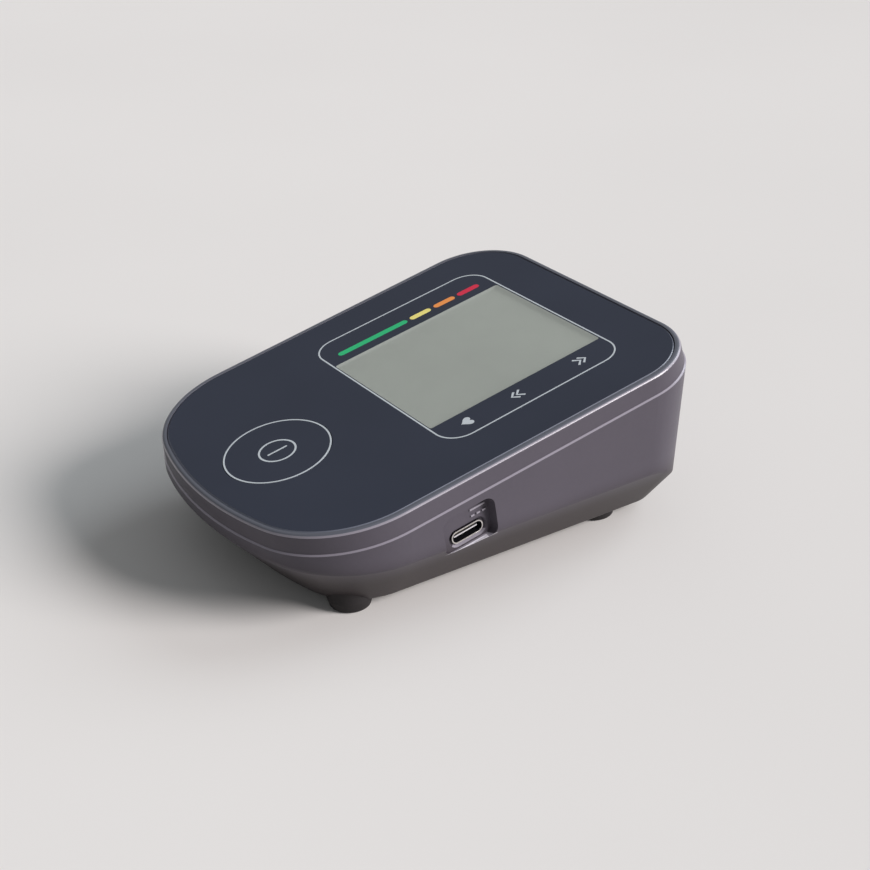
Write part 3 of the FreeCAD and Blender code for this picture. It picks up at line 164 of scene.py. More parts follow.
class Finish(NodeTree):
    """A material made of nodes on the piece's own coordinates."""

    def __init__(self, name):
        self.material = bpy.data.materials.new(name)
        self.material.use_nodes = True
        super().__init__(self.material.node_tree)
        self.tree.nodes.clear()
        self.place = self.node("ShaderNodeTexCoord", output="Object")

    def noise(self, scale, detail=3.0, rough=0.5, place=None):
        return self.node("ShaderNodeTexNoise", {}, {
            "Vector": place or self.place, "Scale": scale, "Detail": detail, "Roughness": rough}, "Fac")

    def stretched(self, scales, turn=(0.0, 0.0, 0.0), centre=(0.0, 0.0, 0.0)):
        """The piece's places in a space with its own scales, turn and centre."""
        return self.node("ShaderNodeMapping", {"vector_type": "TEXTURE"}, {
            "Vector": self.place, "Location": centre, "Rotation": turn, "Scale": scales})

    def on_panel(self):
        """Places in the panel's frame, in millimetres."""
        return self.stretched((MM, MM, MM), (PANEL_TILT, 0.0, 0.0), (0.0, PANEL_BACK * MM, PANEL_LIFT * MM))

    def along(self, axis, place=None):
        return self.node("ShaderNodeSeparateXYZ", {}, {0: place or self.place}, axis)

    def shades(self, value, *stops):
        return self.node("ShaderNodeValToRGB", {"stops": stops}, {0: value}, "Color")

    def between(self, value, dark, light, start=0.3, end=0.7):
        """A colour that goes from dark to light while the value rises from start to end."""
        return self.shades(value, (start, dark), (end, light))

    def uneven(self, value, colour, darkest, lightest, start=0.3, end=0.7):
        """The colour, darker where the value is low and lighter where it is high."""
        return self.between(value, tinted(colour, darkest), tinted(colour, lightest), start, end)

    def levels(self, value, low, high):
        return self.node("ShaderNodeMapRange", {}, {"Value": value, "To Min": low, "To Max": high})

    def mix(self, share, first, second):
        return self.node("ShaderNodeMix", {"data_type": "RGBA"}, {0: share, 6: first, 7: second}, 2)

    def bump(self, height, depth):
        return self.node("ShaderNodeBump", {}, {"Height": height, "Distance": depth})

    def surface(self, **sockets):
        named = {key.replace("_", " "): value for key, value in sockets.items()}
        shader = self.node("ShaderNodeBsdfPrincipled", {}, named)
        self.node("ShaderNodeOutputMaterial", {}, {"Surface": shader})
        return self.material


# Colours of the finishes; the bevel, edge, lip and seam colours are painted highlights, the rim colour a
# painted reflection, the hull and shell-inside colours painted shade, and the tongue's pale edge colour a
# painted highlight
PANEL_PAINT = paint(52, 57, 70)
BEVEL_HIGHLIGHT_PAINT = paint(114, 119, 132)
CASE_PAINT = paint(79, 75, 83)
HULL_SHADE_PAINT = paint(36, 28, 26)
RIM_SHEEN_PAINT = paint(96, 99, 108)
EDGE_HIGHLIGHT_PAINT = paint(142, 138, 147)
LIP_HIGHLIGHT_PAINT = paint(206, 204, 212)
SEAM_HIGHLIGHT_PAINT = paint(138, 133, 143)
PRINT_PAINT = paint(206, 214, 218)
DISPLAY_TINT = paint(203, 209, 200)
DISPLAY_SHADE = paint(199, 205, 196)
SHELL_SHADE_PAINT = paint(34, 34, 38)
TONGUE_HIGHLIGHT_PAINT = paint(196, 194, 196)
BARE_PAINT = paint(196, 196, 192)
SOLDER_PAINT = paint(196, 198, 192)

# Polished edges of the case, whose lighter colour is a painted highlight: colour, loss of roughness, and
# reaches in the panel's frame, later ones on top
RIM_EDGES = (
    (RIM_SHEEN_PAINT, 0.08, None, None, (-0.2, 0.1)),
    (EDGE_HIGHLIGHT_PAINT, 0.12, None, None, (-0.62, -0.2)),
)
SEAM_EDGES = (
    (SEAM_HIGHLIGHT_PAINT, 0.16, None, None, (-5.26, -4.87)),
    (EDGE_HIGHLIGHT_PAINT, 0.18, (43.75, 46.0), (-22.6, -8.2), (-19.0, -18.5)),
    (EDGE_HIGHLIGHT_PAINT, 0.18, (43.0, 43.66), (-20.6, -9.4), (-18.4, -17.3)),
    (LIP_HIGHLIGHT_PAINT, 0.02, (43.6, 45.4), (-19.8, -10.5), (-18.96, -18.65)),
)
EDGE_COAT = 0.75
COAT_ROUGH = 0.26

# Painted shade on the hull: its share of darker paint, which fades out between two heights over the table, in
# metres
HULL_SHADE_SHARE = 0.82
HULL_SHADE_HEIGHTS = (0.010, 0.021)

# The panel's bevel, from a depth in millimetres on, with a painted highlight in lighter paint
BEVEL_START = 0.03
BEVEL_POLISH = 0.3
BEVEL_COAT = 0.9

# The USB shell's bright mouth, with painted shade inside it, and the painted highlight on the tongue's front
# edge: depths in metres, and a height in the panel's frame
MOUTH_DEEP = 0.00012
SHELL_METAL = 0.35
EDGE_DEEP = 0.0001
TONGUE_HIGHLIGHT_LEVEL = -15.72

# The cells: half length and half of the covered length in metres, bare ends, and colours along the sleeve
CELL_REACH = 0.02225
CELL_BARE = 0.0213
CELL_METAL = 0.9
SLEEVE_STOPS = (
    (0.0, paint(40, 44, 52)), (0.715, paint(52, 57, 66)), (0.72, paint(214, 206, 188)),
    (0.74, paint(196, 122, 52)), (1.0, paint(206, 132, 60)),
)

# Depths of fine surface texture in metres, from the smoothest on
HAIR_DEEP = 0.000004
RESIN_DEEP = 0.000006
SATIN_DEEP = 0.00001
MOULD_DEEP = 0.000012
RUBBER_DEEP = 0.00002
COARSE_DEEP = 0.00003
SHEET_DEEP = 0.00004

# Plastic and metal: scale of the speckle against the grain, its rise, and how far the roughness varies
SPECKLE_SHARE = 0.37
SPECK_RISE = 0.6
MOULD_SPREAD = 0.05
METAL_SPREAD = 0.07

# The circuit board: how far its tracks wander in metres, and its solder pads
TRACK_WANDER = 0.004
PAD_REACH = 0.16
PAD_METAL = 0.8
PAD_POLISH = 0.05
MASK_ROUGH = 0.34

# Stacked sheets: share of the pitch that a sheet takes, and tint of the gaps
SHEET_SHARE = 0.8
GAP_TINT = 0.45


def mould_texture(finish, broad, grain, speckle):
    """What a tool leaves on plastic: the signals of its tint, its gloss and its spark-eroded relief."""
    cloud = finish.noise(broad, detail=4.0)
    fine = finish.noise(grain, detail=2.0, rough=0.6)
    speck = finish.noise(speckle, rough=0.7)
    return blended(cloud, speck, share=0.7), blended(cloud, fine, share=0.5), fine + speck * SPECK_RISE


def moulded(name, colour, rough, grain=2600.0, depth=MOULD_DEEP):
    """Moulded plastic with a slightly uneven colour."""
    finish = Finish(name)
    tint, gloss, relief = mould_texture(finish, broad=45.0, grain=grain, speckle=grain * SPECKLE_SHARE)
    return finish.surface(
        Base_Color=finish.uneven(tint, colour, darkest=0.93, lightest=1.07, start=0.25, end=0.75),
        Roughness=finish.levels(gloss, rough - MOULD_SPREAD, rough + MOULD_SPREAD),
        Normal=finish.bump(relief, depth))


def case_plastic(name, colour, edges):
    """Case plastic in a satin grain, with painted shade that darkens the hull towards the table, and polished
    lines with painted highlights in lighter paint where its moulded edges are.
    """
    finish = Finish(name)
    tint, gloss, relief = mould_texture(finish, broad=38.0, grain=2400.0, speckle=900.0)
    tone = finish.uneven(tint, colour, darkest=0.92, lightest=1.08, start=0.25, end=0.75)
    # Painted shade: on the hull the colour darkens towards the table
    hull = finish.node("ShaderNodeMapRange", {"interpolation_type": "SMOOTHSTEP"}, {
        "Value": finish.along("Z"), "From Min": HULL_SHADE_HEIGHTS[0], "From Max": HULL_SHADE_HEIGHTS[1],
        "To Min": 1.0, "To Max": 0.0})
    tone = finish.mix(hull, tone, finish.mix(HULL_SHADE_SHARE, tone, HULL_SHADE_PAINT))
    rough = finish.levels(gloss, low=0.36, high=0.46)
    on_panel = finish.on_panel()
    axes = [finish.along(axis, on_panel) for axis in ("X", "Y", "Z")]
    polished = 0.0
    for highlight_colour, polish, *reaches in edges:
        band = 1.0
        for place, reach in zip(axes, reaches):
            if reach:
                band = band * (place > reach[0]) * (place < reach[1])
        # The band's lighter colour is a painted highlight
        tone = finish.mix(band, tone, highlight_colour)
        rough = rough - band * polish
        relief = relief * (1.0 - band)
        polished = band.either(polished)
    return finish.surface(
        Base_Color=tone, Roughness=rough, Normal=finish.bump(relief, SATIN_DEEP), Specular_IOR_Level=0.2,
        Coat_Weight=polished * EDGE_COAT, Coat_Roughness=COAT_ROUGH)


def usb_steel(front):
    """Drawn shell: bright steel at its mouth, and painted shade inside: darker, less metallic paint."""
    finish = Finish("drawn_shell_steel")
    mouth = finish.along("X") > front - MOUTH_DEEP
    stroke = finish.noise(1600.0, rough=0.6, place=finish.stretched((0.1, 1.0, 1.0)))
    bright = finish.between(stroke, paint(196, 192, 190), paint(230, 226, 222))
    # Behind the mouth, darker and less metallic paint is painted shade
    return finish.surface(
        Base_Color=finish.mix(mouth, SHELL_SHADE_PAINT, bright), Metallic=SHELL_METAL + mouth * (1.0 - SHELL_METAL),
        Roughness=finish.levels(stroke, low=0.18, high=0.3), Normal=finish.bump(stroke, HAIR_DEEP))


def usb_resin(front):
    """Contact tongue: black resin with a painted highlight, a pale line, on its front edge."""
    finish = Finish("tongue_resin")
    # The pale front edge is a painted highlight
    edge = (finish.along("X") > front - EDGE_DEEP) * (finish.along("Z", finish.on_panel()) < TONGUE_HIGHLIGHT_LEVEL)
    grain = finish.noise(4200.0, detail=2.0, rough=0.6)
    dark = finish.between(grain, paint(20, 20, 22), paint(30, 30, 33))
    return finish.surface(
        Base_Color=finish.mix(edge, dark, TONGUE_HIGHLIGHT_PAINT), Roughness=finish.levels(grain, low=0.3, high=0.42),
        Normal=finish.bump(grain, RESIN_DEEP))


def lacquered(name, colour):
    """Hard-coated satin panel: an even dark print with a very slight ripple, and a glossy bevel with a
    painted highlight in lighter paint.
    """
    finish = Finish(name)
    cloud = finish.noise(30.0)
    fine = finish.noise(5200.0, detail=2.0, rough=0.6)
    tone = finish.uneven(cloud, colour, darkest=0.95, lightest=1.05)
    bevel = finish.along("Z", finish.on_panel()) < -BEVEL_START
    rough = finish.levels(blended(cloud, fine, share=0.6), low=0.56, high=0.66)
    # The bevel's lighter paint is a painted highlight
    return finish.surface(
        Base_Color=finish.mix(bevel, tone, BEVEL_HIGHLIGHT_PAINT), Roughness=rough - bevel * BEVEL_POLISH,
        Normal=finish.bump(fine, HAIR_DEEP), Specular_IOR_Level=0.3, Coat_Weight=bevel * BEVEL_COAT,
        Coat_Roughness=COAT_ROUGH)


def ink(name, colour):
    """Screen-printed ink with a faint mesh mottle."""
    finish = Finish(name)
    mottle = finish.noise(3800.0, detail=2.0)
    return finish.surface(
        Base_Color=finish.uneven(mottle, colour, darkest=0.93, lightest=1.05),
        Roughness=finish.levels(mottle, low=0.42, high=0.55), Normal=finish.bump(mottle, HAIR_DEEP),
        Specular_IOR_Level=0.3)


def rubber(name, colour):
    """Matt rubber with a dusty bloom."""
    finish = Finish(name)
    dust = finish.noise(900.0, detail=5.0, rough=0.7)
    fine = finish.noise(3000.0, detail=2.0)
    return finish.surface(
        Base_Color=finish.uneven(dust, colour, darkest=0.88, lightest=1.18, end=0.8),
        Roughness=finish.levels(dust, low=0.62, high=0.8), Normal=finish.bump(fine, RUBBER_DEEP),
        Specular_IOR_Level=0.35)


def metal(name, colour, rough, strokes=(1.0, 1.0, 1.0)):
    """Bare or plated metal with drawing or brushing strokes."""
    finish = Finish(name)
    stroke = finish.noise(900.0, rough=0.6, place=finish.stretched(strokes))
    stain = finish.noise(120.0, detail=4.0)
    gloss = blended(stroke, stain, share=0.6)
    return finish.surface(
        Base_Color=finish.uneven(blended(stain, stroke, share=0.5), colour, darkest=0.86, lightest=1.08),
        Metallic=1.0, Roughness=finish.levels(gloss, rough - METAL_SPREAD, rough + METAL_SPREAD),
        Normal=finish.bump(stroke, HAIR_DEEP))


def clear_window():
    """Clear flush window: a thin veil with a soft gloss over the display glass."""
    finish = Finish("clear_window")
    smear = finish.noise(60.0, detail=4.0)
    return finish.surface(
        Base_Color=finish.uneven(smear, DISPLAY_TINT, darkest=0.97, lightest=1.02),
        Roughness=finish.levels(smear, low=0.46, high=0.54), Alpha=0.5, Specular_IOR_Level=0.2)


def display_glass():
    """Reflective liquid-crystal glass: grey-green polariser with a fine diffuser grain."""
    finish = Finish("display_glass")
    grain = finish.noise(2400.0, detail=2.0, rough=0.6)
    return finish.surface(
        Base_Color=finish.between(grain, DISPLAY_SHADE, DISPLAY_TINT),
        Roughness=finish.levels(grain, low=0.42, high=0.56), Normal=finish.bump(grain, HAIR_DEEP),
        Specular_IOR_Level=0.3)


def circuit_board():
    """Green solder mask over paler copper tracks, with dots of solder."""
    finish = Finish("circuit_board")
    wander = finish.noise(70.0, detail=2.0) * TRACK_WANDER

    def tracks(place, rate, gap, patch, bare):
        """Lines at a rate for each metre, left out in patches."""
        return ((place * rate) % 1.0 > gap) * (finish.noise(patch) > bare)

    lengthwise = tracks(finish.along("X") + wander, rate=420.0, gap=0.62, patch=160.0, bare=0.45)
    crosswise = tracks(finish.along("Y") - wander, rate=380.0, gap=0.7, patch=110.0, bare=0.55)
    copper = lengthwise.either(crosswise)
    dots = finish.node("ShaderNodeTexVoronoi", {}, {"Vector": finish.place, "Scale": 260.0}, "Distance")
    pads = dots < PAD_REACH
    mask = finish.mix(copper, paint(16, 84, 52), paint(30, 112, 66))
    return finish.surface(
        Base_Color=finish.mix(pads, mask, SOLDER_PAINT), Metallic=pads * PAD_METAL,
        Roughness=MASK_ROUGH - pads * PAD_POLISH, Normal=finish.bump(copper + pads, COARSE_DEEP))


def wrapped_cell(name, end):
    """Cell with a printed sleeve: dark body, a warm band at the plus end and bare metal at both ends."""
    finish = Finish(name)
    reach = finish.along("X") * end
    scuff = finish.noise(300.0, detail=4.0)
    share = finish.node("ShaderNodeMapRange", {}, {
        "Value": reach, "From Min": -CELL_REACH, "From Max": CELL_REACH})
    bare = abs(reach) > CELL_BARE
    return finish.surface(
        Base_Color=finish.mix(bare, finish.shades(share, *SLEEVE_STOPS), BARE_PAINT),
        Metallic=bare * CELL_METAL, Roughness=finish.levels(scuff, low=0.28, high=0.42),
        Normal=finish.bump(scuff, SATIN_DEEP))


def laminated(name, colour, pitch):
    """Stacked sheets across X, seen as fine lines along their edges."""
    finish = Finish(name)
    line = (finish.along("X") / pitch) % 1.0 > SHEET_SHARE
    stain = finish.noise(200.0)
    sheet = finish.uneven(stain, colour, darkest=0.9, lightest=1.0)
    return finish.surface(
        Base_Color=finish.mix(line, sheet, tinted(colour, GAP_TINT)), Metallic=0.85,
        Roughness=finish.levels(stain, low=0.38, high=0.5), Normal=finish.bump(1.0 - line, SHEET_DEEP))


# Finishes, by the record's material slots
panel_finish = lacquered("satin_panel", PANEL_PAINT)
top_finish = case_plastic("top_case_plastic", CASE_PAINT, RIM_EDGES)
bottom_finish = case_plastic("bottom_case_plastic", CASE_PAINT, SEAM_EDGES)
steel = metal("bright_steel", paint(200, 200, 200), rough=0.3)
nickel = metal("nickel_plate", paint(206, 202, 192), rough=0.26, strokes=(1.0, 0.12, 1.0))
black_plastic = moulded("black_plastic", paint(34, 35, 38), rough=0.45)
white_plastic = moulded("white_plastic", paint(214, 214, 208), rough=0.45)
grey_plastic = moulded("grey_plastic", paint(118, 120, 124), rough=0.45)
FINISHES = {
    "panel": panel_finish,
    "button": panel_finish,
    "case_top": top_finish,
    "case_bottom": bottom_finish,
    "foot": rubber("foot_rubber", paint(32, 29, 30)),
    "window": clear_window(),
    "lcd_front": display_glass(),
    "lcd_rear": metal("reflector_foil", paint(168, 172, 168), rough=0.4),
    "carrier": white_plastic,
    "strip": laminated("zebra_strip", paint(96, 96, 100), pitch=0.0002),
    "board": circuit_board(),
    "chip": moulded("chip_resin", paint(28, 28, 30), rough=0.5, grain=5200.0),
    "buzzer": black_plastic,
    "switch": black_plastic,
    "switch_pin": moulded("switch_pin_plastic", paint(150, 42, 36), rough=0.42),
    "usb_metal": usb_steel(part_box("usb_shell")[1].x),
    "usb_plastic": usb_resin(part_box("usb_tongue")[1].x),
    "screw": metal("zinc_screw", paint(176, 176, 172), rough=0.34),
    "contact": nickel,
    "door": bottom_finish,
    "motor_steel": metal("drawn_can_steel", paint(186, 188, 190), rough=0.3, strokes=(0.08, 1.0, 1.0)),
    "motor_plastic": black_plastic,
    "magnet": moulded("ferrite", paint(52, 50, 52), rough=0.6, grain=1800.0, depth=COARSE_DEEP),
    "armature": laminated("armature_sheets", paint(150, 148, 146), pitch=0.0006),
    "shaft": steel,
    "crank": grey_plastic,
    "pump_plastic": white_plastic,
    "diaphragm": rubber("diaphragm_rubber", paint(64, 60, 60)),
    "sensor": moulded("sensor_resin", paint(44, 46, 52), rough=0.4),
    "manifold": grey_plastic,
    "valve": moulded("valve_resin", paint(60, 62, 70), rough=0.42),
    "valve_pin": steel,
    "tube": rubber("milky_silicone", paint(206, 206, 200)),
    "socket": moulded("socket_plastic", paint(40, 40, 44), rough=0.38),
}

# The cells lie head to tail, so their plus ends point left and right in turn
CELL_FINISHES = (wrapped_cell("cell_sleeve_left", -1.0), wrapped_cell("cell_sleeve_right", 1.0))
for row in frame["record"]["subparts"]:
    solid = frame["nodes"][row["node"]]
    slot = row["material_slot"]
    if slot == "cell":
        finish = CELL_FINISHES[int(row["node"][-1]) % 2]
    else:
        finish = FINISHES[slot]
    solid.data.materials.clear()
    solid.data.materials.append(finish)

# Outlines and thin solids of the drawn pieces, in millimetres
FULL_TURN = 360.0
CORNER_STEPS = 14
PILL_STEPS = 12
WELD_GAP = 1e-5


def round_path(middle, radius, steps, first=0.0, last=FULL_TURN):
    """Points along an arc, in degrees; a full turn leaves out its last point."""
    count = steps if last - first >= FULL_TURN else steps + 1
    turns = [math.radians(first + (last - first) * index / steps) for index in range(count)]
    return [(middle[0] + radius * math.cos(turn), middle[1] + radius * math.sin(turn)) for turn in turns]


def corner_path(left, right, low, high, radius):
    """A rectangle with round corners, from its right upper corner on."""
    corners = ((right - radius, high - radius, 0.0), (left + radius, high - radius, 90.0),
               (left + radius, low + radius, 180.0), (right - radius, low + radius, 270.0))
    return [point for x, y, turn in corners
            for point in round_path((x, y), radius, CORNER_STEPS, turn, turn + 90.0)]


def pill_path(x, low, high, wide):
    """A bar along the panel's length with round ends."""
    half = wide / 2.0
    upper = round_path((x, high - half), half, PILL_STEPS, 0.0, 180.0)
    lower = round_path((x, low + half), half, PILL_STEPS, 180.0, FULL_TURN)
    return upper + lower


def add_prism(mesh, outline, low, high):
    """A solid between two levels over an outline."""
    lower = [mesh.verts.new((x, y, low)) for x, y in outline]
    upper = [mesh.verts.new((x, y, high)) for x, y in outline]
    mesh.faces.new(upper)
    mesh.faces.new(lower[::-1])
    for index in range(len(outline)):
        after = (index + 1) % len(outline)
        mesh.faces.new((lower[index], lower[after], upper[after], upper[index]))


def add_line(mesh, path, wide, low, high, closed=True):
    """A flat line of an even width along a path, as a closed thin solid."""
    count = len(path)
    rows = []
    for index, (x, y) in enumerate(path):
        before = path[index - 1] if closed or index else path[index]
        after = path[(index + 1) % count] if closed or index < count - 1 else path[index]
        step = Vector((after[0] - before[0], after[1] - before[1])).normalized() * (wide / 2.0)
        rows.append([mesh.verts.new(place) for place in (
            (x - step.y, y + step.x, high), (x + step.y, y - step.x, high),
            (x + step.y, y - step.x, low), (x - step.y, y + step.x, low))])
    for index in range(count if closed else count - 1):
        here, there = rows[index], rows[(index + 1) % count]
        for side in range(len(here)):
            after = (side + 1) % len(here)
            mesh.faces.new((here[side], here[after], there[after], there[side]))
    if not closed:
        mesh.faces.new(rows[0])
        mesh.faces.new(rows[-1][::-1])


def placed(name, data, space, body, finish):
    """Turns a mesh in millimetres to its place, puts it in the scene and lets it ride on its body."""
    data.transform(space)
    data.materials.clear()
    data.materials.append(finish)
    solid = linked(name, data)
    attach(solid, body)
    return solid


def drawn(name, draw, space, body, finish):
    """A piece that a function draws, with its faces turned outwards."""
    mesh = bmesh.new()
    draw(mesh)
    bmesh.ops.remove_doubles(mesh, verts=mesh.verts, dist=WELD_GAP)
    bmesh.ops.recalc_face_normals(mesh, faces=mesh.faces)
    data = bpy.data.meshes.new(name)
    mesh.to_mesh(data)
    mesh.free()
    return placed(name, data, space, body, finish)


# Prints on the panel: thin ink layers that are let into its face
INK_LEVELS = (-0.02, 0.012)
PRINT_LINE = 0.42
FRAME_EDGES = (-34.3, 31.7, -7.87, 45.46)
FRAME_CORNER = 6.4
SCALE_SIDE = -26.3
SCALE_WIDE = 1.9
SCALE_BARS = (
    ("green", -3.8, 18.0, (52, 196, 128)),
    ("yellow", 19.1, 25.7, (255, 238, 138)),
    ("orange", 26.9, 33.6, (255, 160, 84)),
    ("red", 34.7, 41.7, (226, 52, 80)),
)
white_ink = ink("white_ink", PRINT_PAINT)


def draw_frame(mesh):
    add_line(mesh, corner_path(*FRAME_EDGES, FRAME_CORNER), PRINT_LINE, *INK_LEVELS)


def scale_bar(low, high):
    """The drawing of one bar of the colour scale."""
    def draw(mesh):
        add_prism(mesh, pill_path(SCALE_SIDE, low, high, SCALE_WIDE), *INK_LEVELS)
    return draw


drawn("display_frame_line", draw_frame, PANEL_SPACE, "housing", white_ink)
for colour_name, low, high, colour in SCALE_BARS:
    bar_ink = ink(colour_name + "_ink", paint(*colour))
    drawn("scale_bar_" + colour_name, scale_bar(low, high), PANEL_SPACE, "housing", bar_ink)

# Row marks beside the display: a double arrow up, a double arrow down and a heart
MARK_SIDE = 26.6
MARK_LINE = 0.6
MARK_ROWS = (35.2, 15.4, 0.4)
ARROW_HALF = 1.5
ARROW_RISE = 1.5
ARROW_STEP = 0.75
HEART_STEPS = 40
HEART_HALF = 1.75
HEART_SCALE = 0.11
HEART_WAVES = (13.0, -5.0, -2.0, -1.0)


def arrow_mark(mesh, x, y, way):
    for step in (-ARROW_STEP, ARROW_STEP):
        tip = y + way * (step + ARROW_RISE / 2.0)
        foot = y + way * (step - ARROW_RISE / 2.0)
        path = [(x - ARROW_HALF, foot), (x, tip), (x + ARROW_HALF, foot)]
        add_line(mesh, path, MARK_LINE, *INK_LEVELS, closed=False)


def heart_mark(mesh, x, y):
    path = []
    for index in range(HEART_STEPS):
        turn = math.tau * index / HEART_STEPS
        rise = sum(wave * math.cos(order * turn) for order, wave in enumerate(HEART_WAVES, 1))
        path.append((x + HEART_HALF * math.sin(turn) ** 3, y + HEART_SCALE * rise))
    add_prism(mesh, path, *INK_LEVELS)


def draw_marks(mesh):
    upper, middle, lower = MARK_ROWS
    arrow_mark(mesh, MARK_SIDE, upper, 1.0)
    arrow_mark(mesh, MARK_SIDE, middle, -1.0)
    heart_mark(mesh, MARK_SIDE, lower)


drawn("row_marks", draw_marks, PANEL_SPACE, "housing", white_ink)

# Button print: a ring near its edge and a start mark in the middle
BUTTON_FORE = -38.0
BUTTON_RING = 13.27
BUTTON_STEPS = 120
START_RING = 4.55
START_STEPS = 72
START_BAR = (-40.8, -35.2)
START_LINE = 0.5


def draw_button_print(mesh):
    middle = (0.0, BUTTON_FORE)
    add_line(mesh, round_path(middle, BUTTON_RING, BUTTON_STEPS), PRINT_LINE, *INK_LEVELS)
    add_line(mesh, round_path(middle, START_RING, START_STEPS), START_LINE, *INK_LEVELS)
    add_prism(mesh, pill_path(0.0, *START_BAR, START_LINE), *INK_LEVELS)


drawn("button_print", draw_button_print, PANEL_SPACE, "start_button", white_ink)

# Direct-current sign raised on the floor of the USB recess, in lighter paint as a painted highlight
RECESS_FLOOR = 43.681
SIGN_SPACE = (TABLE_SPACE @ Matrix.Translation((RECESS_FLOOR, PANEL_BACK, PANEL_LIFT))
              @ Matrix.Rotation(PANEL_TILT, 4, "X") @ Matrix.Rotation(QUARTER, 4, "Z")
              @ Matrix.Rotation(QUARTER, 4, "X"))
SIGN_MIDDLE = (-11.3, -11.1)
SIGN_HALF = 2.1
SIGN_LINE = 0.45
SIGN_LEVELS = (-0.05, 0.3)
SIGN_STEP = 0.85
DASH_HALF = 0.48
DASH_SHARES = (-1.0, 0.0, 1.0)


def draw_current_sign(mesh):
    x, y = SIGN_MIDDLE
    strokes = [(x, SIGN_HALF, y + SIGN_STEP)]
    for share in DASH_SHARES:
        strokes.append((x + share * (SIGN_HALF - DASH_HALF), DASH_HALF, y - SIGN_STEP))
    for middle, half, row in strokes:
        path = [(middle - half, row), (middle + half, row)]
        add_line(mesh, path, SIGN_LINE, *SIGN_LEVELS, closed=False)


# The sign's lighter paint is a painted highlight
sign_highlight_finish = moulded("polished_sign", EDGE_HIGHLIGHT_PAINT, rough=0.26)
drawn("current_sign", draw_current_sign, SIGN_SPACE, "housing", sign_highlight_finish)


class Repeat(NodeTree):
    """A geometry tree that sets one shape on every place; its sizes are named inputs, in millimetres."""

    def __init__(self, name, sizes):
        super().__init__(bpy.data.node_groups.new(name, "GeometryNodeTree"))
        self.values = {}
        face = self.tree.interface
        face.new_socket(name="Places", in_out="INPUT", socket_type="NodeSocketGeometry")
        for label, value in sizes.items():
            socket = face.new_socket(name=label, in_out="INPUT", socket_type="NodeSocketFloat")
            self.values[socket.identifier] = value
        face.new_socket(name="Pieces", in_out="OUTPUT", socket_type="NodeSocketGeometry")

    def size(self, label):
        return self.node("NodeGroupInput", output=label)

    def vector(self, x=0.0, y=0.0, z=0.0):
        return self.node("ShaderNodeCombineXYZ", {}, {"X": x, "Y": y, "Z": z})

    def box(self, x, y, z):
        return self.node("GeometryNodeMeshCube", {}, {"Size": self.vector(x, y, z)})

    def rod(self, radius, long, sides):
        return self.node("GeometryNodeMeshCylinder", {}, {"Vertices": sides, "Radius": radius, "Depth": long})

    def moved(self, shape, place=(0.0, 0.0, 0.0), turn=(0.0, 0.0, 0.0)):
        return self.node("GeometryNodeTransform", {}, {
            "Geometry": shape, "Translation": place, "Rotation": turn})

    def joined(self, *shapes):
        return self.node("GeometryNodeJoinGeometry", {}, {0: list(shapes)})

    def mesh(self, shape, places):
        """Sets the shape on the places and keeps the result as a plain mesh."""
        spread = self.node("GeometryNodeInstanceOnPoints", {}, {
            "Points": self.node("NodeGroupInput", output="Places"), "Instance": shape})
        whole = self.node("GeometryNodeRealizeInstances", {}, {"Geometry": spread})
        self.node("NodeGroupOutput", {}, {0: whole})
        points = bpy.data.meshes.new(self.tree.name)
        points.from_pydata(places, [], [])
        holder = linked(self.tree.name, points)
        modifier = holder.modifiers.new("repeat", "NODES")
        modifier.node_group = self.tree
        for identifier, value in self.values.items():
            modifier[identifier] = value
        graph = bpy.context.evaluated_depsgraph_get()
        data = bpy.data.meshes.new_from_object(holder.evaluated_get(graph))
        holder.modifiers.remove(modifier)
        bpy.data.objects.remove(holder)
        return data


def repeated(name, sizes, shape, places, space, body, finish):
    """A piece made of one shape on several places, as a plain mesh on its body."""
    tree = Repeat(name, sizes)
    data = tree.mesh(shape(tree), places)
    data.name = name
    return placed(name, data, space, body, finish)


def mirrored(spots, height):
    """Places to the left and right of the middle, at one height."""
    return [(side * x, y, height) for x, y in spots for side in (-1.0, 1.0)]


def in_row(count, pitch):
    """Evenly spaced places along a line, about its middle."""
    return [pitch * (index - (count - 1) / 2.0) for index in range(count)]


# Screws with rounded heads, a cross recess and a thread, in place of the plain ones
UPSIDE_DOWN = (math.pi, 0.0, 0.0)
SCREW_SIDES = 32
THREAD_STEPS = 20
RIDGE_CORNERS = 3

# Shares of a screw head's height and radius; each step of the dome has a rise and a narrowing
RIM_SHARE = 0.5
DOME_SHARES = ((0.3, 0.9), (0.2, 0.78))
SLOT_LONG = 1.2
SLOT_WIDE = 0.28
SLOT_TALL = 1.1

# Shares of a screw shank's radius and length
CORE_SHARE = 0.8
HELIX_SHARE = 0.85
RIDGE_SHARE = 0.14
THREAD_REACH = 0.92
THREAD_FOOT = -0.96

# Seats in the panel's frame, places and sizes of the screws
CASE_SCREW_SEAT = -14.0
CASE_SCREW_SPOTS = ((18.0, -44.6), (29.8, 40.5))
CASE_SCREW_SIZES = {
    "Head radius": 2.4, "Head height": 1.8, "Shank radius": 1.3, "Shank length": 9.0, "Pitch": 1.1}
BOARD_SCREW_SEAT = -14.088
BOARD_SCREW_SPOTS = ((26.0, -35.0), (33.78, -6.54))
BOARD_SCREW_SIZES = {
    "Head radius": 1.9, "Head height": 1.2, "Shank radius": 1.0, "Shank length": 5.0, "Pitch": 0.8}


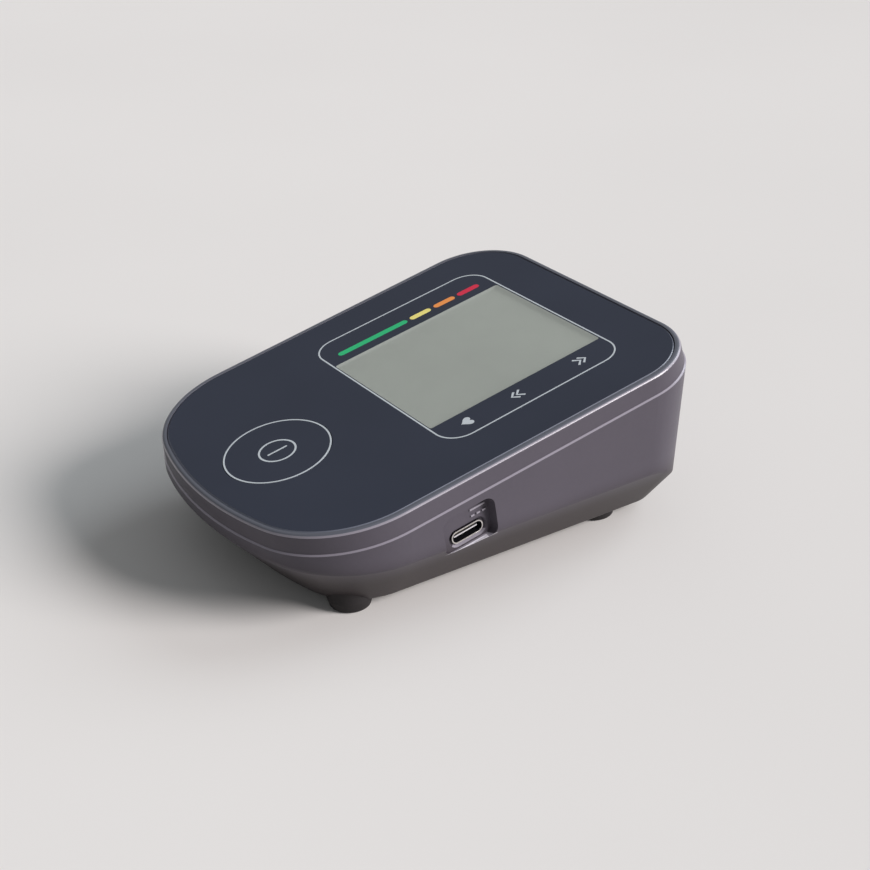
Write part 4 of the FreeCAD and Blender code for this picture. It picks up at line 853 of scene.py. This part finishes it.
def screw_head(tree):
    """A domed head with a cross recess, from zero up."""
    radius, tall = tree.size("Head radius"), tree.size("Head height")
    grown = tree.rod(radius, tall * RIM_SHARE, SCREW_SIDES)
    top = grown.output("Top")
    for rise, narrow in DOME_SHARES:
        grown = tree.node("GeometryNodeExtrudeMesh", {"mode": "FACES"}, {
            "Mesh": grown, "Selection": top, "Offset Scale": tall * rise, "Individual": False}, "Mesh")
        top = grown.output("Top")
        grown = tree.node("GeometryNodeScaleElements", {"domain": "FACE"}, {
            "Geometry": grown, "Selection": top, "Scale": narrow})
    raised = tree.moved(grown, tree.vector(z=tall * (RIM_SHARE / 2.0)))
    long, wide, deep = radius * SLOT_LONG, radius * SLOT_WIDE, tall * SLOT_TALL
    slots = [tree.moved(tree.box(x, y, deep), tree.vector(z=tall)) for x, y in ((long, wide), (wide, long))]
    return tree.node("GeometryNodeMeshBoolean", {"operation": "DIFFERENCE", "solver": "EXACT"}, {
        "Mesh 1": raised, "Mesh 2": slots})


def screw_shape(tree):
    radius, long = tree.size("Shank radius"), tree.size("Shank length")
    core = tree.moved(tree.rod(radius * CORE_SHARE, long, SCREW_SIDES), tree.vector(z=long * -0.5))
    helix = tree.node("GeometryNodeCurveSpiral", {}, {
        "Resolution": THREAD_STEPS, "Rotations": long / tree.size("Pitch") - 1.0,
        "Height": long * THREAD_REACH, "Start Radius": radius * HELIX_SHARE,
        "End Radius": radius * HELIX_SHARE})
    ridge = tree.node("GeometryNodeCurvePrimitiveCircle", {}, {
        "Resolution": RIDGE_CORNERS, "Radius": radius * RIDGE_SHARE})
    thread = tree.node("GeometryNodeCurveToMesh", {}, {
        "Curve": helix, "Profile Curve": ridge, "Fill Caps": True})
    hung = tree.moved(thread, tree.vector(z=long * THREAD_FOOT))
    return tree.moved(tree.joined(screw_head(tree), core, hung), turn=UPSIDE_DOWN)


for kind, sizes, places in (
        ("case_screw", CASE_SCREW_SIZES, mirrored(CASE_SCREW_SPOTS, CASE_SCREW_SEAT)),
        ("board_screw", BOARD_SCREW_SIZES, mirrored(BOARD_SCREW_SPOTS, BOARD_SCREW_SEAT))):
    screws = repeated(
        kind + "s", sizes, screw_shape, places, PANEL_SPACE, "housing", FINISHES["screw"])
    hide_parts(*(kind + "_%d" % number for number in range(1, 5)))

# Battery door: grip ridges in its thumb recess and a raised arrow
GRIP_FLOOR = 3.0
GRIP_MIDDLE = 21.32
GRIP_PITCH = 0.98
GRIP_COUNT = 4
GRIP_SIDES = 16
GRIP_SIZES = {"Radius": 0.3, "Length": 8.0}
ACROSS = (0.0, QUARTER, 0.0)
DOOR_ARROW = ((-3.0, 10.4), (3.0, 10.4), (0.0, 14.4))
DOOR_ARROW_LEVELS = (2.28, 2.55)


def ridge_shape(tree):
    return tree.moved(tree.rod(tree.size("Radius"), tree.size("Length"), GRIP_SIDES), turn=ACROSS)


def draw_door_arrow(mesh):
    add_prism(mesh, DOOR_ARROW, *DOOR_ARROW_LEVELS)


grip_places = [(0.0, GRIP_MIDDLE + step, GRIP_FLOOR) for step in in_row(GRIP_COUNT, GRIP_PITCH)]
repeated("door_grip_ridges", GRIP_SIZES, ridge_shape, grip_places, TABLE_SPACE, "battery_door",
         bottom_finish)
drawn("door_arrow", draw_door_arrow, TABLE_SPACE, "battery_door", bottom_finish)

# Gilt contacts on the USB tongue, in the panel's frame
TONGUE_MIDDLE = 40.8
TONGUE_FORE = -15.0
TONGUE_TOP = -15.368
CONTACT_COUNT = 12
CONTACT_PITCH = 0.5
CONTACT_SIZES = {"Length": 3.4, "Width": 0.24, "Thickness": 0.06}


def contact_shape(tree):
    return tree.box(*(tree.size(label) for label in CONTACT_SIZES))


contact_steps = in_row(CONTACT_COUNT, CONTACT_PITCH)
contact_places = [(TONGUE_MIDDLE, TONGUE_FORE + step, TONGUE_TOP) for step in contact_steps]
gilt = metal("gilt_contact", paint(214, 176, 92), rough=0.25)
repeated("tongue_contacts", CONTACT_SIZES, contact_shape, contact_places, PANEL_SPACE, "housing",
         gilt)

# The chip's legs, in a row on each of its sides
CHIP_PLACE = (12.08, -24.01, -12.488)
CHIP_SPACE = PANEL_SPACE @ Matrix.Translation(CHIP_PLACE)
CHIP_EDGE = 5.0
CHIP_SIDES = 4
LEG_COUNT = 11
LEG_PITCH = 0.8
LEG_GAP = 0.02
LEG_SIZES = {"Width": 0.3, "Thickness": 0.14, "Foot": 0.7, "Rise": 0.8}


def leg_shape(tree):
    wide, thick, foot, rise = (tree.size(label) for label in LEG_SIZES)
    lower = tree.moved(tree.box(wide, foot, thick), tree.vector(y=foot * 0.5 + thick, z=thick * 0.5))
    upright = tree.moved(tree.box(wide, thick, rise), tree.vector(y=thick * 0.5 + LEG_GAP, z=rise * 0.5))
    return tree.joined(lower, upright)


leg_places = [(step, CHIP_EDGE, 0.0) for step in in_row(LEG_COUNT, LEG_PITCH)]
for side in range(CHIP_SIDES):
    leg_space = CHIP_SPACE @ Matrix.Rotation(QUARTER * side, 4, "Z")
    repeated("chip_legs_%d" % (side + 1), LEG_SIZES, leg_shape, leg_places, leg_space, "housing",
             nickel)

# Plain pale floor that is open from below
FLOOR_HALF = 6.0
FLOOR_HEIGHT = -0.00005
FLOOR_CORNERS = ((-1.0, -1.0), (1.0, -1.0), (1.0, 1.0), (-1.0, 1.0))


def floor_paint():
    finish = Finish("pale_floor")
    colour = finish.between(finish.noise(3.0), paint(226, 224, 220), paint(230, 228, 224))
    pale = finish.node("ShaderNodeBsdfPrincipled", {}, {
        "Base Color": colour, "Roughness": 0.85, "Specular IOR Level": 0.1})
    clear = finish.node("ShaderNodeBsdfTransparent")
    from_below = finish.node("ShaderNodeNewGeometry", output="Backfacing")
    both_sides = finish.node("ShaderNodeMixShader", {}, {0: from_below, 1: pale, 2: clear})
    finish.node("ShaderNodeOutputMaterial", {}, {"Surface": both_sides})
    return finish.material


floor_mesh = bpy.data.meshes.new("floor")
floor_mesh.from_pydata(
    [(x * FLOOR_HALF, y * FLOOR_HALF, FLOOR_HEIGHT) for x, y in FLOOR_CORNERS], [], [(0, 1, 2, 3)])
floor_mesh.materials.append(floor_paint())
floor = linked("floor", floor_mesh)

# Even light all round, and two distant softboxes
WORLD_TINT = (0.93, 0.96, 1.0, 1.0)
WORLD_STRENGTH = 0.25
world = bpy.data.worlds.new("studio")
world.use_nodes = True
world.node_tree.nodes.clear()
studio = NodeTree(world.node_tree)
glow = studio.node("ShaderNodeBackground", {}, {"Color": WORLD_TINT, "Strength": WORLD_STRENGTH})
studio.node("ShaderNodeOutputWorld", {}, {"Surface": glow})
bpy.context.scene.world = world


def soft_sun(name, direction, strength, spread, colour):
    """A distant softbox in a direction from the object, as wide as its spread in degrees."""
    light = bpy.data.lights.new(name, "SUN")
    light.energy = strength
    light.angle = math.radians(spread)
    light.color = colour
    lamp = linked(name, light)
    lamp.rotation_euler = (-Vector(direction)).to_track_quat("-Z", "Y").to_euler()


soft_sun("window_light", (0.74, 0.56, 0.45), strength=4.1, spread=26.0, colour=(1.0, 0.95, 0.96))
soft_sun("rear_light", (0.05, 0.86, 0.52), strength=1.1, spread=40.0, colour=(0.86, 0.93, 1.0))

# A faint light panel on the floor under the case, which only shows in views from below
UNDER_WIDE = 0.050
UNDER_LONG = 0.074
UNDER_PLACE = (0.0, 0.002, 0.0002)
UNDER_POWER = 0.010
under_light = bpy.data.lights.new("under_light", "AREA")
under_light.shape = "RECTANGLE"
under_light.size = UNDER_WIDE
under_light.size_y = UNDER_LONG
under_light.energy = UNDER_POWER
under_lamp = linked("under_light", under_light)
under_lamp.location = UNDER_PLACE
under_lamp.rotation_euler = UPSIDE_DOWN
under_lamp.visible_camera = False

# The photograph's camera: its place in metres, its lens and sensor in millimetres
CAMERA_PLACE = Vector((0.3347, -0.21097, 0.2246))
CAMERA_RIGHT = Vector((0.557, 0.8301, -0.0246))
CAMERA_FORWARD = Vector((-0.745, 0.4863, -0.4566))
CAMERA_LENS = 72.2
CAMERA_SENSOR = 36.0
camera_up = CAMERA_RIGHT.cross(CAMERA_FORWARD).normalized()
camera_back = -CAMERA_FORWARD.normalized()
camera_side = camera_up.cross(camera_back).normalized()
camera_turn = Matrix((camera_side, camera_up, camera_back)).transposed().to_4x4()
camera_data = bpy.data.cameras.new("camera")
camera_data.lens = CAMERA_LENS
camera_data.sensor_width = CAMERA_SENSOR
camera = linked("camera", camera_data)
camera.matrix_world = Matrix.Translation(CAMERA_PLACE) @ camera_turn
bpy.context.scene.camera = camera
bpy.context.scene.view_settings.view_transform = "Standard"
